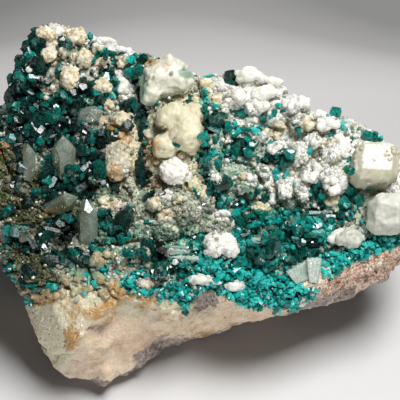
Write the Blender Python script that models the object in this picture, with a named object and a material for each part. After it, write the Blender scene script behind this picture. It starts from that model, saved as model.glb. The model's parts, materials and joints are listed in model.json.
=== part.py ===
"""Dioptase specimen: green crystals with quartz and calcite on a lump of pale rock.

Metres, +Z up. The floor is z = 0 and the origin lies under the middle of the specimen.
The rock's upper face leans to the front. Places on that face are given in millimetres as
u (to the right), v (up the face) and h (out of the face).
"""
import math
import random
from dataclasses import dataclass, field
from typing import Callable

import bpy
import bmesh
from mathutils import Matrix, Quaternion, Vector, noise

MM = 0.001

# The upper face of the rock
FACE_TILT = math.radians(17)
FACE_HEIGHT = 41.6
ACROSS = Vector((1, 0, 0))
UPHILL = Vector((0, math.cos(FACE_TILT), math.sin(FACE_TILT)))
OUTWARD = Vector((0, -math.sin(FACE_TILT), math.cos(FACE_TILT)))

# Clearances and thicknesses
GAP = 0.35
CRUST = 2.0
ROOT = 2.5
SHARPEST_CORNER = 1.8
TIGHTEST_TURN = 0.6
PROBE_HEIGHT = 40
PRISM_TOP = 30

# The rock: its edge on the upper face as (u, v), then its widest line and its underside
RIM = [
    (-61, 10), (-55, 20), (-53, 31), (-50, 42), (-45, 48), (-36, 45.5), (-26, 40), (-14, 37),
    (-8, 34), (-1, 30), (8, 31), (17, 30), (25, 25), (31, 19.5), (43, 16), (52, 11),
    (60, 4), (62, -6), (60.5, -15.5), (56, -21.5), (47, -24.5), (39, -27.5), (29, -33.5), (20, -37),
    (8, -33), (0, -31), (-6, -37), (-15, -35), (-23, -35), (-28, -42), (-36, -43),
    (-41.5, -36), (-46.5, -31), (-53.5, -23), (-59, -13),
]
FOOT = [
    (-33, -50, 4), (-41, -49, 4), (-45, -39, 4), (-44.5, -28, 5), (-48, -18, 6), (-57, -14, 13),
    (-60, 8, 15), (-55, 25, 14), (-46, 46, 14), (-30, 42, 12), (-10, 35, 12), (8, 31, 15),
    (25, 24, 18), (42, 14, 22), (62, -12, 20), (58, -23, 19), (46, -27.5, 18), (34, -28, 15),
    (24, -27, 14), (12, -31, 10), (-3, -35.5, 10), (-14, -36, 8), (-18.5, -42, 5), (-25, -49, 4),
]
BASE = [
    (-44, -31), (-34, -41), (-22, -40), (-12, -31), (4, -25), (18, -18), (28, -8), (30, 4),
    (22, 14), (6, 20), (-12, 24), (-30, 28), (-42, 26), (-47, 12), (-49, -5), (-48, -20),
]
BASE_CENTRE = (-10, -4)

# Swells and hollows of the upper face: u, v, height, spread across, spread uphill
RELIEF = [
    (-41, 30, 4.0, 16, 14),
    (-16, 9, -4.5, 3, 13),
    (-39, -15, -6.0, 7, 6),
    (20, -20, -4.0, 11, 8),
    (51, 2, 3.0, 11, 14),
    (-6, 10, 3.0, 9, 14),
    (13, 27, 2.5, 12, 6),
]

# Flat breaks of the rock: bearing and rise of the direction they face, and how deep they cut
BREAKS = [
    (-100, 8, 3.0), (-62, -22, 4.0), (-78, 30, 2.0), (-125, 12, 3.0), (-150, -12, 2.5),
    (180, 10, 2.0), (150, -8, 3.0), (118, 14, 1.5), (92, -10, 3.5), (70, 12, 4.0),
    (52, -16, 4.0), (30, 4, 3.0), (-8, -38, 3.5), (-35, -30, 3.0), (-20, 22, 2.5),
    (100, -42, 3.0), (-110, -40, 2.0), (205, -45, 3.0),
]

LOFT_STEPS = 60
ROCK_VOXEL = 2.0
ROCK_TRIANGLES = 1220
CRUST_TRIANGLES = 760
ROUGH_SIZE = 13.0
ROUGH_DEPTH = 2.6
FINE_SIZE = 4.5
FINE_DEPTH = 0.9

# Outlines of the crusts on the upper face, as (u, v)
LEFT_DRUSE = [
    (-60, 16), (-60, 30), (-54, 45), (-47, 54), (-35, 53), (-25, 51), (-15, 46), (-16, 33),
    (-17, 23), (-15, 18), (-17, 11), (-20, 5), (-22, 11), (-27, 9), (-27, -1), (-30, -5),
    (-37, -4), (-43, -10), (-49, -8), (-53, 0),
]
LEFT_QUARTZ = [
    (-66, 15), (-60, 16), (-53, 0), (-49, -8), (-43, -10), (-37, -4), (-30, -5), (-27, -1),
    (-20, -4), (-18, -11), (-21, -20), (-28, -21), (-31, -26), (-29, -33), (-46, -33),
    (-52, -34), (-62, -27),
]
CENTRE_QUARTZ = [
    (-15, 46), (-16, 33), (-17, 23), (-15, 18), (-17, 11), (-20, 5), (-22, 11), (-27, 9),
    (-27, -1), (-20, -4), (-18, -11), (-21, -20), (-14, -19), (-10, -20), (1, -17),
    (10, -20), (11, -10), (2, -5), (1, 8), (1, 20), (0, 27), (-2, 40),
]
RIGHT_WHITE = [
    (-2, 40), (0, 27), (1, 20), (7, 14), (8, 5), (15, 3), (22, -8), (28, -11), (34, -10),
    (42, -5), (46, -14), (57, -15), (68, -8), (66, 8), (52, 18), (46, 22), (32, 28), (22, 38),
]
RIGHT_DRUSE = [
    (1, 20), (7, 14), (8, 5), (15, 3), (22, -8), (28, -11), (34, -10), (42, -5), (46, -14),
    (41, -20), (33, -23), (24, -25), (20, -29), (14, -25), (10, -20), (11, -10), (2, -5),
    (1, 8),
]
FRONT_DRUSE = [
    (-28, -21), (-21, -20), (-14, -19), (-10, -20), (1, -17), (10, -20), (14, -25), (20, -29),
    (24, -25), (33, -23), (41, -20), (46, -14), (57, -15), (60, -21), (48, -27), (41, -30),
    (34, -38), (22, -46), (12, -42), (0, -33), (-6, -40), (-15, -37), (-22, -36), (-29, -33),
    (-31, -26),
]
FRONT_STAINED = [
    (-52, -34), (-46, -33), (-29, -33), (-22, -36), (-24, -41), (-30, -43), (-35, -49),
    (-42, -48), (-50, -41),
]

# Large dioptase crystals grown into the crusts: u, v, length, radius, lean from the face, bearing
LEFT_CRYSTALS = [
    (-38, 39, 6.0, 1.5, 35, -100),
    (-27, 36, 7.0, 1.5, 60, -15),
    (-27, 31, 5.5, 1.7, 25, 80),
    (-50, 24, 5.0, 2.4, 30, 120),
    (-33, 22, 6.5, 1.5, 60, 175),
    (-30, 1, 7.0, 2.0, 28, -60),
]
RIGHT_CRYSTALS = [
    (4, 12, 6.5, 1.5, 45, 90),
    (12, 9, 6.0, 3.4, 22, -30),
    (4, -3, 7.0, 1.6, 48, 110),
    (15, -17, 7.5, 1.8, 48, 88),
    (17, -26, 10.5, 3.9, 38, 60),
    (27, -19, 9.0, 3.0, 42, 25),
    (38, -12, 6.0, 1.7, 48, 20),
]

# White knobs grown into the right crust: u, v, width, depth uphill, height
RIGHT_KNOBS = [
    (15, 29, 8.4, 6.6, 6.4), (21, 25, 8.8, 6.0, 5.6), (26.5, 20.6, 7.4, 6.0, 5.0), (22, 17, 6.0, 5.2, 5.2),
    (29, 15, 6.0, 5.6, 5.4), (36, 14, 6.0, 5.4, 5.6), (28, 6, 6.6, 6.6, 6.2), (37, 6, 5.2, 8.0, 6.4),
    (22, 7, 5.0, 5.0, 4.6), (17, 12, 5.0, 4.6, 4.6), (32, 0, 6.2, 5.0, 4.6), (24, -4, 3.8, 7.6, 5.0),
    (29, -5, 3.8, 7.6, 5.0), (38, -2, 7.4, 6.0, 5.2), (10, 22, 5.4, 5.0, 4.4), (16, 20, 5.0, 5.0, 4.4),
]

# Dioptase crystals that stand alone, with their names
LONE_CRYSTALS = [
    ("dioptase_crystal_left_edge", -54, -17, 7.0, 1.5, 60, 110),
    ("dioptase_crystal_long", -31, -27, 11.5, 1.8, 70, 168),
    ("dioptase_crystal_middle", -22, -17, 7.5, 2.0, 48, 70),
    ("dioptase_crystal_crevice_upper", -17, 8, 7.5, 1.4, 60, 85),
    ("dioptase_crystal_crevice_lower", -16, -5, 8.5, 1.6, 60, 95),
    ("dioptase_crystal_ridge", 9.2, 28.2, 3.4, 1.8, 24, 100),
    ("dioptase_crystal_rim", 39, 19, 2.4, 1.7, 20, 70),
    ("dioptase_crystal_far_right", 45.6, 10.6, 3.2, 1.8, 40, 10),
]

# Clear quartz crystals: u, v, length, radius, lean, bearing
QUARTZ = [
    ("quartz_crystal_upper", -36, 17, 8.0, 2.6, 58, 5),
    ("quartz_crystal_large", -38, 1, 9.5, 3.4, 50, 92),
    ("quartz_crystal_tall", -48, -5, 12.5, 2.1, 64, 92),
    ("quartz_crystal_beside_hollow", -31, -20, 11.5, 2.9, 58, 92),
    ("quartz_crystal_above_hollow", -43, -9, 8.5, 2.7, 58, 12),
]

# Lumps that stand alone: u, v, width, depth uphill, height, number of facets
LUMPS = [
    ("cream_lump_corner", -44.4, 42, 5.4, 4.8, 5.0, 12, "cream calcite"),
    ("cream_lump_top", -35.6, 40.8, 5.8, 4.4, 4.2, 12, "cream calcite"),
    ("cream_lump_round", -43, 35, 4.2, 4.2, 4.4, 12, "cream calcite"),
    ("cream_lump_pair", -33, 34, 4.4, 4.4, 4.4, 12, "cream calcite"),
    ("cream_lump_tall", -37, 28, 5.0, 7.4, 5.0, 14, "cream calcite"),
    ("cream_lump_slanted", -28, 26, 6.4, 3.0, 3.8, 12, "cream calcite"),
    ("cream_lump_low", -22, 16, 4.4, 4.2, 4.2, 12, "cream calcite"),
    ("stained_quartz_lump", -23, 3, 7.8, 10.4, 6.4, 14, "stained quartz"),
    ("white_calcite_lump", -7, 0, 7.6, 6.6, 5.4, 14, "white calcite"),
    ("white_calcite_patch", 42, -19, 8.4, 5.4, 4.6, 12, "white calcite"),
]

# Lumps of several stones grown together: name, mineral, facets, then u, v, width, depth, height of each
JOINED_LUMPS = [
    ("quartz_knob", "pale quartz", 18, [
        (-9.8, 27.9, 15.0, 11.5, 12.2), (-5.6, 27.4, 9.0, 7.5, 6.6), (-13.5, 24.0, 7.5, 7.0, 9.0)]),
    ("yellow_quartz_mass", "yellow quartz", 16, [
        (-7.5, 15.5, 10.0, 7.5, 8.0), (-3.5, 10.5, 10.0, 10.0, 9.0), (-9.5, 7.5, 7.5, 7.5, 7.0),
        (-1.5, 17, 6.5, 6.5, 6.5)]),
    ("white_heart_lump", "white calcite", 16, [(4.1, -21, 5.4, 7.6, 4.6), (7.9, -21, 5.4, 7.6, 4.6)]),
]

# Sizes of what grows in the crusts: least and greatest length, then radius
DIOPTASE_SIZES = (4.0, 7.0, 1.1, 2.0)
SMALL_DIOPTASE_SIZES = (3.0, 5.0, 0.9, 1.6)
QUARTZ_SIZES = (4.0, 8.0, 1.2, 2.4)
GRAIN_SIZES = (3.2, 4.8, 1.8, 3.2)
KNOB_SIZES = (3.6, 5.6, 1.6, 2.8)
GRAIN_FACETS = 10
FACET_REACH = (0.9, 1.03)
FACET_TURN = 0.25
LEAN_RANGE = (5, 48)
MOST_TRIES = 4000

# How far inside a crust's outline, and inside the rock's edge, the tips of its crystals stay
TIP_EDGE = 3.0

# How high a lump's middle stands over the crust, as a share of its height
KNOB_LIFT = 0.2
LUMP_LIFT = 0.22

# How far each stone of a joined lump is turned against the one before
STONE_TURN = 0.7

# Crystal forms
DIOPTASE_SLOPE = math.radians(50.7)
QUARTZ_SLOPE = math.radians(51.8)

# Calcite blocks at the right, which are slightly sheared boxes:
# name, u, v, width, depth, height, lean, bearing and how wide its edges are worn
BLOCKS = [
    ("calcite_block_upper", 49, 1.2, 12.6, 11.6, 12.5, 7, 34, 2.2),
    ("calcite_block_lower", 52.4, -12.4, 11.4, 11.4, 11.0, 17, -109, 2.6),
]
BLOCK_SHEAR = 0.12

# The fan of blades: the place of its root uphill, then the place across, length, lean, bearing
# and breadth of each
BLADE_ROOT = -33
BLADE_THICKNESS = 1.6
BLADE_TAPER = 0.45
BLADE_SINK = 0.5
BLADES = [(30.8, 8.6, 58, 120, 7.0), (32.0, 10.4, 48, 92, 4.2), (33.2, 10.8, 60, 60, 8.6)]

COLOURS = {
    "tan rock": ((0.56, 0.43, 0.33, 1), 0.9),
    "dark dioptase": ((0.0, 0.09, 0.07, 1), 0.15),
    "turquoise dioptase": ((0.0, 0.36, 0.31, 1), 0.25),
    "grey quartz": ((0.45, 0.46, 0.38, 1), 0.3),
    "pale quartz": ((0.66, 0.68, 0.56, 1), 0.2),
    "yellow quartz": ((0.62, 0.55, 0.34, 1), 0.4),
    "stained quartz": ((0.6, 0.4, 0.18, 1), 0.5),
    "cream calcite": ((0.8, 0.7, 0.48, 1), 0.6),
    "white calcite": ((0.88, 0.87, 0.82, 1), 0.6),
}


def face_point(u, v, h=0.0):
    """The point u across, v uphill and h out of the rock's upper face, in metres."""
    place = Vector((0, 0, FACE_HEIGHT)) + ACROSS * u + UPHILL * v + OUTWARD * h
    return place * MM


def material(name):
    """The Principled material of one mineral."""
    found = bpy.data.materials.get(name)
    if found:
        return found
    colour, roughness = COLOURS[name]
    made = bpy.data.materials.new(name)
    made.use_nodes = True
    shader = made.node_tree.nodes["Principled BSDF"]
    shader.inputs["Base Color"].default_value = colour
    shader.inputs["Roughness"].default_value = roughness
    shader.inputs["Metallic"].default_value = 0.0
    return made


def new_object(name, bm, mineral=None):
    """Put a bmesh into the scene as an object, and free it."""
    mesh = bpy.data.meshes.new(name)
    bm.to_mesh(mesh)
    bm.free()
    obj = bpy.data.objects.new(name, mesh)
    bpy.context.scene.collection.objects.link(obj)
    if mineral:
        mesh.materials.append(material(mineral))
    return obj


def apply_modifiers(obj):
    """Replace an object's mesh by what its modifiers make of it."""
    depsgraph = bpy.context.evaluated_depsgraph_get()
    made = bpy.data.meshes.new_from_object(obj.evaluated_get(depsgraph))
    old = obj.data
    obj.modifiers.clear()
    obj.data = made
    bpy.data.meshes.remove(old)


def copy_of(obj, name):
    """A separate copy of an object with its own mesh."""
    made = obj.copy()
    made.data = obj.data.copy()
    made.name = name
    bpy.context.scene.collection.objects.link(made)
    return made


def remove(obj):
    """Delete an object and its mesh."""
    mesh = obj.data
    bpy.data.objects.remove(obj)
    bpy.data.meshes.remove(mesh)


def boolean(obj, other, operation, self_crossing=False):
    """Join, cut or keep the common part of two closed meshes."""
    modifier = obj.modifiers.new("boolean", "BOOLEAN")
    modifier.operation = operation
    modifier.solver = "EXACT"
    modifier.use_self = self_crossing
    modifier.object = other
    apply_modifiers(obj)


def remesh(obj, voxel):
    """Rebuild a mesh as one even skin."""
    modifier = obj.modifiers.new("remesh", "REMESH")
    modifier.mode = "VOXEL"
    modifier.voxel_size = voxel * MM
    modifier.adaptivity = 0.0
    apply_modifiers(obj)


def decimate(obj, triangles):
    """Bring a mesh down to about a number of triangles."""
    obj.data.calc_loop_triangles()
    modifier = obj.modifiers.new("decimate", "DECIMATE")
    modifier.ratio = triangles / len(obj.data.loop_triangles)
    modifier.use_collapse_triangulate = True
    apply_modifiers(obj)


def grow(obj, distance):
    """Move every face outwards by a distance in millimetres."""
    bm = bmesh.new()
    bm.from_mesh(obj.data)
    bm.normal_update()
    moves = []
    for vert in bm.verts:
        reach = min(vert.calc_shell_factor(), SHARPEST_CORNER)
        moves.append(vert.normal * reach * distance * MM)
    for vert, move in zip(bm.verts, moves):
        vert.co += move
    bm.to_mesh(obj.data)
    bm.free()


def parts_of(bm):
    """The separate bodies in a bmesh, each as a list of faces."""
    seen = set()
    found = []
    for start in bm.faces:
        if start in seen:
            continue
        seen.add(start)
        body = [start]
        for face in body:
            for edge in face.edges:
                for neighbour in edge.link_faces:
                    if neighbour not in seen:
                        seen.add(neighbour)
                        body.append(neighbour)
        found.append(body)
    return found


def keep_main_body(obj):
    """Drop the chips that cuts leave, and leave clean triangles."""
    bm = bmesh.new()
    bm.from_mesh(obj.data)
    bmesh.ops.remove_doubles(bm, verts=bm.verts, dist=0.000002)
    bmesh.ops.triangulate(bm, faces=bm.faces)
    bodies = sorted(parts_of(bm), key=lambda body: sum(face.calc_area() for face in body))
    for body in bodies[:-1]:
        bmesh.ops.delete(bm, geom=body, context="FACES")
    bm.to_mesh(obj.data)
    bm.free()


def ring_at(points, centre, count):
    """Points at even bearings along a closed outline, which may carry a height."""
    ring = []
    for step in range(count):
        bearing = 2 * math.pi * step / count
        ahead = Vector((math.cos(bearing), math.sin(bearing)))
        best = None
        for first, second in zip(points, points[1:] + points[:1]):
            a = Vector(first[:2]) - Vector(centre)
            b = Vector(second[:2]) - Vector(centre)
            side_a = ahead.x * a.y - ahead.y * a.x
            side_b = ahead.x * b.y - ahead.y * b.x
            if side_a * side_b > 0 or side_a == side_b:
                continue
            share = side_a / (side_a - side_b)
            hit = a.lerp(b, share)
            reach = hit.dot(ahead)
            if reach > 0 and (best is None or reach > best[0]):
                level = first[2] + (second[2] - first[2]) * share if len(first) > 2 else 0.0
                best = (reach, hit + Vector(centre), level)
        ring.append((best[1].x, best[1].y, best[2]))
    return ring


def relief(u, v):
    """Height of the upper face's swells and hollows, in millimetres."""
    total = 0.0
    for centre_u, centre_v, height, across, uphill in RELIEF:
        total += height * math.exp(-((u - centre_u) / across) ** 2 - ((v - centre_v) / uphill) ** 2)
    return total


def rock_rings():
    """Rings of the rock from its underside to the middle of its upper face, in metres."""
    rim = ring_at(RIM, (0, 0), LOFT_STEPS)
    foot = [Vector(point) * MM for point in ring_at(FOOT, (0, 0), LOFT_STEPS)]
    base = [Vector((x, y, -2.0)) * MM for x, y, _ in ring_at(BASE, BASE_CENTRE, LOFT_STEPS)]
    edge = [face_point(u, v, -1.5) for u, v, _ in rim]
    rings = [base, foot]
    for share, swell in ((0.5, 1.02), (0.85, 1.01)):
        ring = []
        for low, high in zip(foot, edge):
            point = low.lerp(high, share)
            ring.append(Vector((point.x * swell, point.y * swell, point.z)))
        rings.append(ring)
    rings.append(edge)
    for scale in (0.96, 0.85, 0.7, 0.55, 0.4, 0.25, 0.1):
        rings.append([face_point(u * scale, v * scale, relief(u * scale, v * scale)) for u, v, _ in rim])
    return rings


def loft(name, rings):
    """A closed skin through rings of equal count, capped at both ends."""
    bm = bmesh.new()
    loops = []
    for ring in rings:
        verts = [bm.verts.new(point) for point in ring]
        edges = [bm.edges.new((a, b)) for a, b in zip(verts, verts[1:] + verts[:1])]
        loops.append(edges)
    for lower, upper in zip(loops, loops[1:]):
        bmesh.ops.bridge_loops(bm, edges=lower + upper)
    bmesh.ops.holes_fill(bm, edges=loops[0] + loops[-1], sides=0)
    bmesh.ops.recalc_face_normals(bm, faces=bm.faces)
    return new_object(name, bm)


def roughen(obj):
    """Break an even skin into chunks and small steps."""
    bm = bmesh.new()
    bm.from_mesh(obj.data)
    bm.normal_update()
    for vert in bm.verts:
        place = vert.co / MM
        chunk = noise.turbulence(place / ROUGH_SIZE, 2, True) - 0.5
        grain = noise.noise(place / FINE_SIZE)
        vert.co += vert.normal * (chunk * ROUGH_DEPTH + grain * FINE_DEPTH) * MM
    bm.to_mesh(obj.data)
    bm.free()


def break_flat(obj):
    """Cut the rock's sides along flat breaks, each set in from the furthest point that way."""
    bm = bmesh.new()
    bm.from_mesh(obj.data)
    for bearing, rise, depth in BREAKS:
        around = math.radians(bearing)
        up = math.radians(rise)
        aim = Vector((math.cos(around) * math.cos(up), math.sin(around) * math.cos(up), math.sin(up)))
        reach = max(vert.co.dot(aim) for vert in bm.verts)
        slice_off(bm, aim * (reach - depth * MM), aim)
    bm.to_mesh(obj.data)
    bm.free()


def floor_cutter():
    """A box below the floor, which gives the rock its flat resting face."""
    bm = bmesh.new()
    bmesh.ops.create_cube(bm, size=0.4, matrix=Matrix.Translation((0, 0, -0.2)))
    return new_object("floor_cutter", bm)


def make_rock():
    """The rock, and the skins that shape what grows on it."""
    rock = loft("matrix", rock_rings())
    remesh(rock, ROCK_VOXEL)
    roughen(rock)
    break_flat(rock)
    crust = copy_of(rock, "crust_form")
    grow(crust, CRUST)
    remesh(crust, ROCK_VOXEL)
    decimate(crust, CRUST_TRIANGLES)
    decimate(rock, ROCK_TRIANGLES)
    floor = floor_cutter()
    boolean(rock, floor, "DIFFERENCE")
    remove(floor)
    keep_main_body(rock)
    rock.data.materials.clear()
    rock.data.materials.append(material("tan rock"))
    near = copy_of(rock, "gap_form")
    grow(near, GAP)
    return rock, near, crust


def close_cut(bm, result):
    """Fill the hole that a plane has cut."""
    edges = [item for item in result["geom_cut"] if isinstance(item, bmesh.types.BMEdge)]
    if edges:
        bmesh.ops.holes_fill(bm, edges=edges, sides=0)


def slice_off(bm, point, normal):
    """Cut away what lies beyond a plane, and close the cut."""
    geometry = bm.verts[:] + bm.edges[:] + bm.faces[:]
    result = bmesh.ops.bisect_plane(
        bm, geom=geometry, dist=1e-7, plane_co=point, plane_no=normal, clear_outer=True)
    close_cut(bm, result)


def prism_crystal(length, radius, slope, faces):
    """A six-sided crystal along +Z, its tip cut by sloping faces over alternate edges or sides."""
    bm = bmesh.new()
    bmesh.ops.create_circle(bm, cap_ends=True, segments=6, radius=radius * MM)
    made = bmesh.ops.extrude_face_region(bm, geom=bm.faces[:])
    tops = [item for item in made["geom"] if isinstance(item, bmesh.types.BMVert)]
    bmesh.ops.translate(bm, verts=tops, vec=(0, 0, length * MM))
    bmesh.ops.recalc_face_normals(bm, faces=bm.faces)
    turn = 0.0 if faces == 3 else math.pi / 6
    for step in range(faces):
        bearing = turn + 2 * math.pi * step / faces
        normal = Vector((math.sin(slope) * math.cos(bearing), math.sin(slope) * math.sin(bearing),
                         math.cos(slope)))
        slice_off(bm, Vector((0, 0, length * MM)), normal)
    return bm


def dioptase_crystal(length, radius):
    """A dioptase crystal: three rhombs meet at its tip."""
    return prism_crystal(length, radius, DIOPTASE_SLOPE, 3)


def quartz_crystal(length, radius):
    """A quartz crystal: six faces meet at its tip."""
    return prism_crystal(length, radius, QUARTZ_SLOPE, 6)


def cut_stone(width, depth, height, facets, seed):
    """A rounded grain with flat facets, centred on the origin."""
    chance = random.Random(seed)
    bm = bmesh.new()
    bmesh.ops.create_cube(bm, size=2.0)
    half = Vector((width, depth, height)) * 0.5
    bmesh.ops.scale(bm, vec=half * MM, verts=bm.verts)
    turn = math.pi * (3 - math.sqrt(5))
    for step in range(facets):
        level = 1 - (2 * step + 1) / facets
        around = math.sqrt(1 - level * level)
        bearing = step * turn + chance.uniform(-FACET_TURN, FACET_TURN)
        aim = Vector((around * math.cos(bearing), around * math.sin(bearing), level))
        support = Vector((aim.x * half.x, aim.y * half.y, aim.z * half.z)).length
        reach = support * chance.uniform(*FACET_REACH)
        slice_off(bm, aim * reach * MM, aim)
    return bm


def stand(bm, place, lean, bearing, spin=0.0):
    """Lean a shape from the face's outward direction, and put its foot at a place."""
    ahead = ACROSS * math.cos(bearing) + UPHILL * math.sin(bearing)
    aim = OUTWARD * math.cos(lean) + ahead * math.sin(lean)
    upright = Vector((0, 0, 1)).rotation_difference(aim)
    turned = Matrix.Translation(place) @ upright.to_matrix().to_4x4()
    spun = Quaternion((0, 0, 1), spin).to_matrix().to_4x4()
    bmesh.ops.transform(bm, matrix=turned @ spun, verts=bm.verts)


def ground_height(form, u, v):
    """How far a skin stands out of the face's plane at a place, in millimetres."""
    start = face_point(u, v, PROBE_HEIGHT)
    hit, place, _, _ = form.ray_cast(start, -OUTWARD)
    if not hit:
        return 0.0
    return PROBE_HEIGHT - (start - place).length / MM


def inside(point, outline):
    """Whether a point lies within a closed outline."""
    found = False
    for first, second in zip(outline, outline[1:] + outline[:1]):
        if (first[1] > point[1]) != (second[1] > point[1]):
            share = (point[1] - first[1]) / (second[1] - first[1])
            if point[0] < first[0] + (second[0] - first[0]) * share:
                found = not found
    return found


def shrunk(outline, distance):
    """An outline with each side moved inwards."""
    count = len(outline)
    area = sum(a[0] * b[1] - b[0] * a[1] for a, b in zip(outline, outline[1:] + outline[:1]))
    side = 1 if area > 0 else -1
    moved = []
    for index, corner in enumerate(outline):
        before = (Vector(corner) - Vector(outline[index - 1])).normalized()
        after = (Vector(outline[(index + 1) % count]) - Vector(corner)).normalized()
        first = Vector((-before.y, before.x)) * side
        second = Vector((-after.y, after.x)) * side
        spread = max(1 + first.dot(second), TIGHTEST_TURN)
        moved.append(tuple(Vector(corner) + (first + second) / spread * distance))
    return moved


def prism(outline, low, high):
    """A block over an outline of the upper face, between two heights."""
    bm = bmesh.new()
    verts = [bm.verts.new(face_point(u, v, low)) for u, v in outline]
    floor = bm.faces.new(verts)
    made = bmesh.ops.extrude_face_region(bm, geom=[floor])
    tops = [item for item in made["geom"] if isinstance(item, bmesh.types.BMVert)]
    bmesh.ops.translate(bm, verts=tops, vec=OUTWARD * (high - low) * MM)
    bmesh.ops.recalc_face_normals(bm, faces=bm.faces)
    return new_object("prism", bm)


def scattered(outline, count, spacing, chance):
    """Places spread over an outline, none closer together than the spacing."""
    low_u = min(u for u, _ in outline)
    high_u = max(u for u, _ in outline)
    low_v = min(v for _, v in outline)
    high_v = max(v for _, v in outline)
    places = []
    for _ in range(MOST_TRIES):
        if len(places) == count:
            break
        spot = (chance.uniform(low_u, high_u), chance.uniform(low_v, high_v))
        apart = all((Vector(spot) - Vector(other)).length > spacing for other in places)
        if apart and inside(spot, outline):
            places.append(spot)
    return places


def add_piece(joined, bm):
    """Add a bmesh to another, and free it."""
    piece = bpy.data.meshes.new("piece")
    bm.to_mesh(piece)
    bm.free()
    joined.from_mesh(piece)
    bpy.data.meshes.remove(piece)


def axis_points(foot, lean, bearing, length):
    """Three places along a leaning crystal."""
    ahead = (ACROSS * math.cos(bearing) + UPHILL * math.sin(bearing)) * math.sin(lean)
    aim = OUTWARD * math.cos(lean) + ahead
    return [foot + aim * share * length * MM for share in (0.3, 0.65, 1.0)]


def clear_of(points, radius, keep_out):
    """Whether places along a crystal miss every ball that holds a standing piece."""
    for point in points:
        for centre, reach in keep_out:
            if (point - centre).length < (reach + radius) * MM:
                return False
    return True


def cluster(row, form, keep_out, seed):
    """Crystals or grains that grow from a crust, joined as one mesh of crossing bodies."""
    chance = random.Random(seed)
    joined = bmesh.new()
    for u, v, length, radius, lean, bearing in row.named:
        bm = dioptase_crystal(length + ROOT, radius)
        foot = face_point(u, v, ground_height(form, u, v) - ROOT)
        stand(bm, foot, math.radians(lean), math.radians(bearing), u + v)
        add_piece(joined, bm)
        middle = axis_points(foot, math.radians(lean), math.radians(bearing), length + ROOT)[1]
        keep_out = keep_out + [(middle, length * 0.45)]
    for index, (u, v, width, depth, height) in enumerate(row.knobs):
        foot = face_point(u, v, ground_height(form, u, v) + height * KNOB_LIFT)
        bm = cut_stone(width, depth, height, GRAIN_FACETS, index)
        stand(bm, foot, 0.0, 0.0)
        add_piece(joined, bm)
        keep_out = keep_out + [(foot, width * 0.3)]
    sizes = row.sizes
    crown = shrunk(row.outline, TIP_EDGE)
    top = shrunk(RIM, TIP_EDGE)
    made = 0
    for u, v in scattered(shrunk(row.outline, sizes[3] + row.edge), row.count * 3, row.spacing, chance):
        length = chance.uniform(sizes[0], sizes[1])
        radius = chance.uniform(sizes[2], sizes[3])
        lean = math.radians(chance.uniform(*LEAN_RANGE))
        bearing = chance.uniform(-math.pi, math.pi)
        foot = face_point(u, v, ground_height(form, u, v) - ROOT)
        along = axis_points(foot, lean, bearing, length + ROOT)
        ahead = length * math.sin(lean)
        tip = (u + ahead * math.cos(bearing), v + ahead * math.sin(bearing))
        crowned = inside(tip, crown) and inside(tip, top)
        if made == row.count or not crowned or not clear_of(along, radius, keep_out):
            continue
        bm = row.maker(length + ROOT, radius, chance)
        stand(bm, foot, lean, bearing, chance.uniform(-math.pi, math.pi))
        add_piece(joined, bm)
        made += 1
    return new_object("cluster", joined)


def dioptase_maker(length, radius, _):
    """One dioptase crystal of a crust."""
    return dioptase_crystal(length, radius)


def quartz_maker(length, radius, _):
    """One quartz crystal of a crust."""
    return quartz_crystal(length, radius)


def grain_maker(length, radius, chance):
    """One round grain of a crust, standing on its root."""
    bm = cut_stone(radius * 2, radius * 2, length, GRAIN_FACETS, chance.random())
    bmesh.ops.translate(bm, verts=bm.verts, vec=(0, 0, length * 0.5 * MM))
    return bm


@dataclass
class Crust:
    """One crust of the upper face: where it lies and what grows in it."""
    name: str
    outline: list
    mineral: str
    maker: Callable
    sizes: tuple
    count: int
    spacing: float
    low: float
    edge: float = 1.0
    named: list = field(default_factory=list)
    knobs: list = field(default_factory=list)


CRUSTS = [
    Crust("dioptase_druse_left", LEFT_DRUSE, "dark dioptase", dioptase_maker, DIOPTASE_SIZES, 12, 5.0,
          -9, 4.0, LEFT_CRYSTALS),
    Crust("quartz_druse_left", LEFT_QUARTZ, "grey quartz", quartz_maker, QUARTZ_SIZES, 10, 6.0,
          -9, 2.5),
    Crust("quartz_crust_centre", CENTRE_QUARTZ, "grey quartz", grain_maker, GRAIN_SIZES, 12, 5.0,
          -7),
    Crust("white_crust_right", RIGHT_WHITE, "white calcite", grain_maker, KNOB_SIZES, 6, 4.5,
          -9, knobs=RIGHT_KNOBS),
    Crust("dioptase_druse_right", RIGHT_DRUSE, "dark dioptase", dioptase_maker, DIOPTASE_SIZES, 8, 4.5,
          -7, 0.5, RIGHT_CRYSTALS),
    Crust("dioptase_druse_front", FRONT_DRUSE, "turquoise dioptase", dioptase_maker,
          SMALL_DIOPTASE_SIZES, 16, 4.4, -13),
    Crust("stained_quartz_front", FRONT_STAINED, "stained quartz", grain_maker, GRAIN_SIZES, 5, 5.5,
          -16),
]


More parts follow.
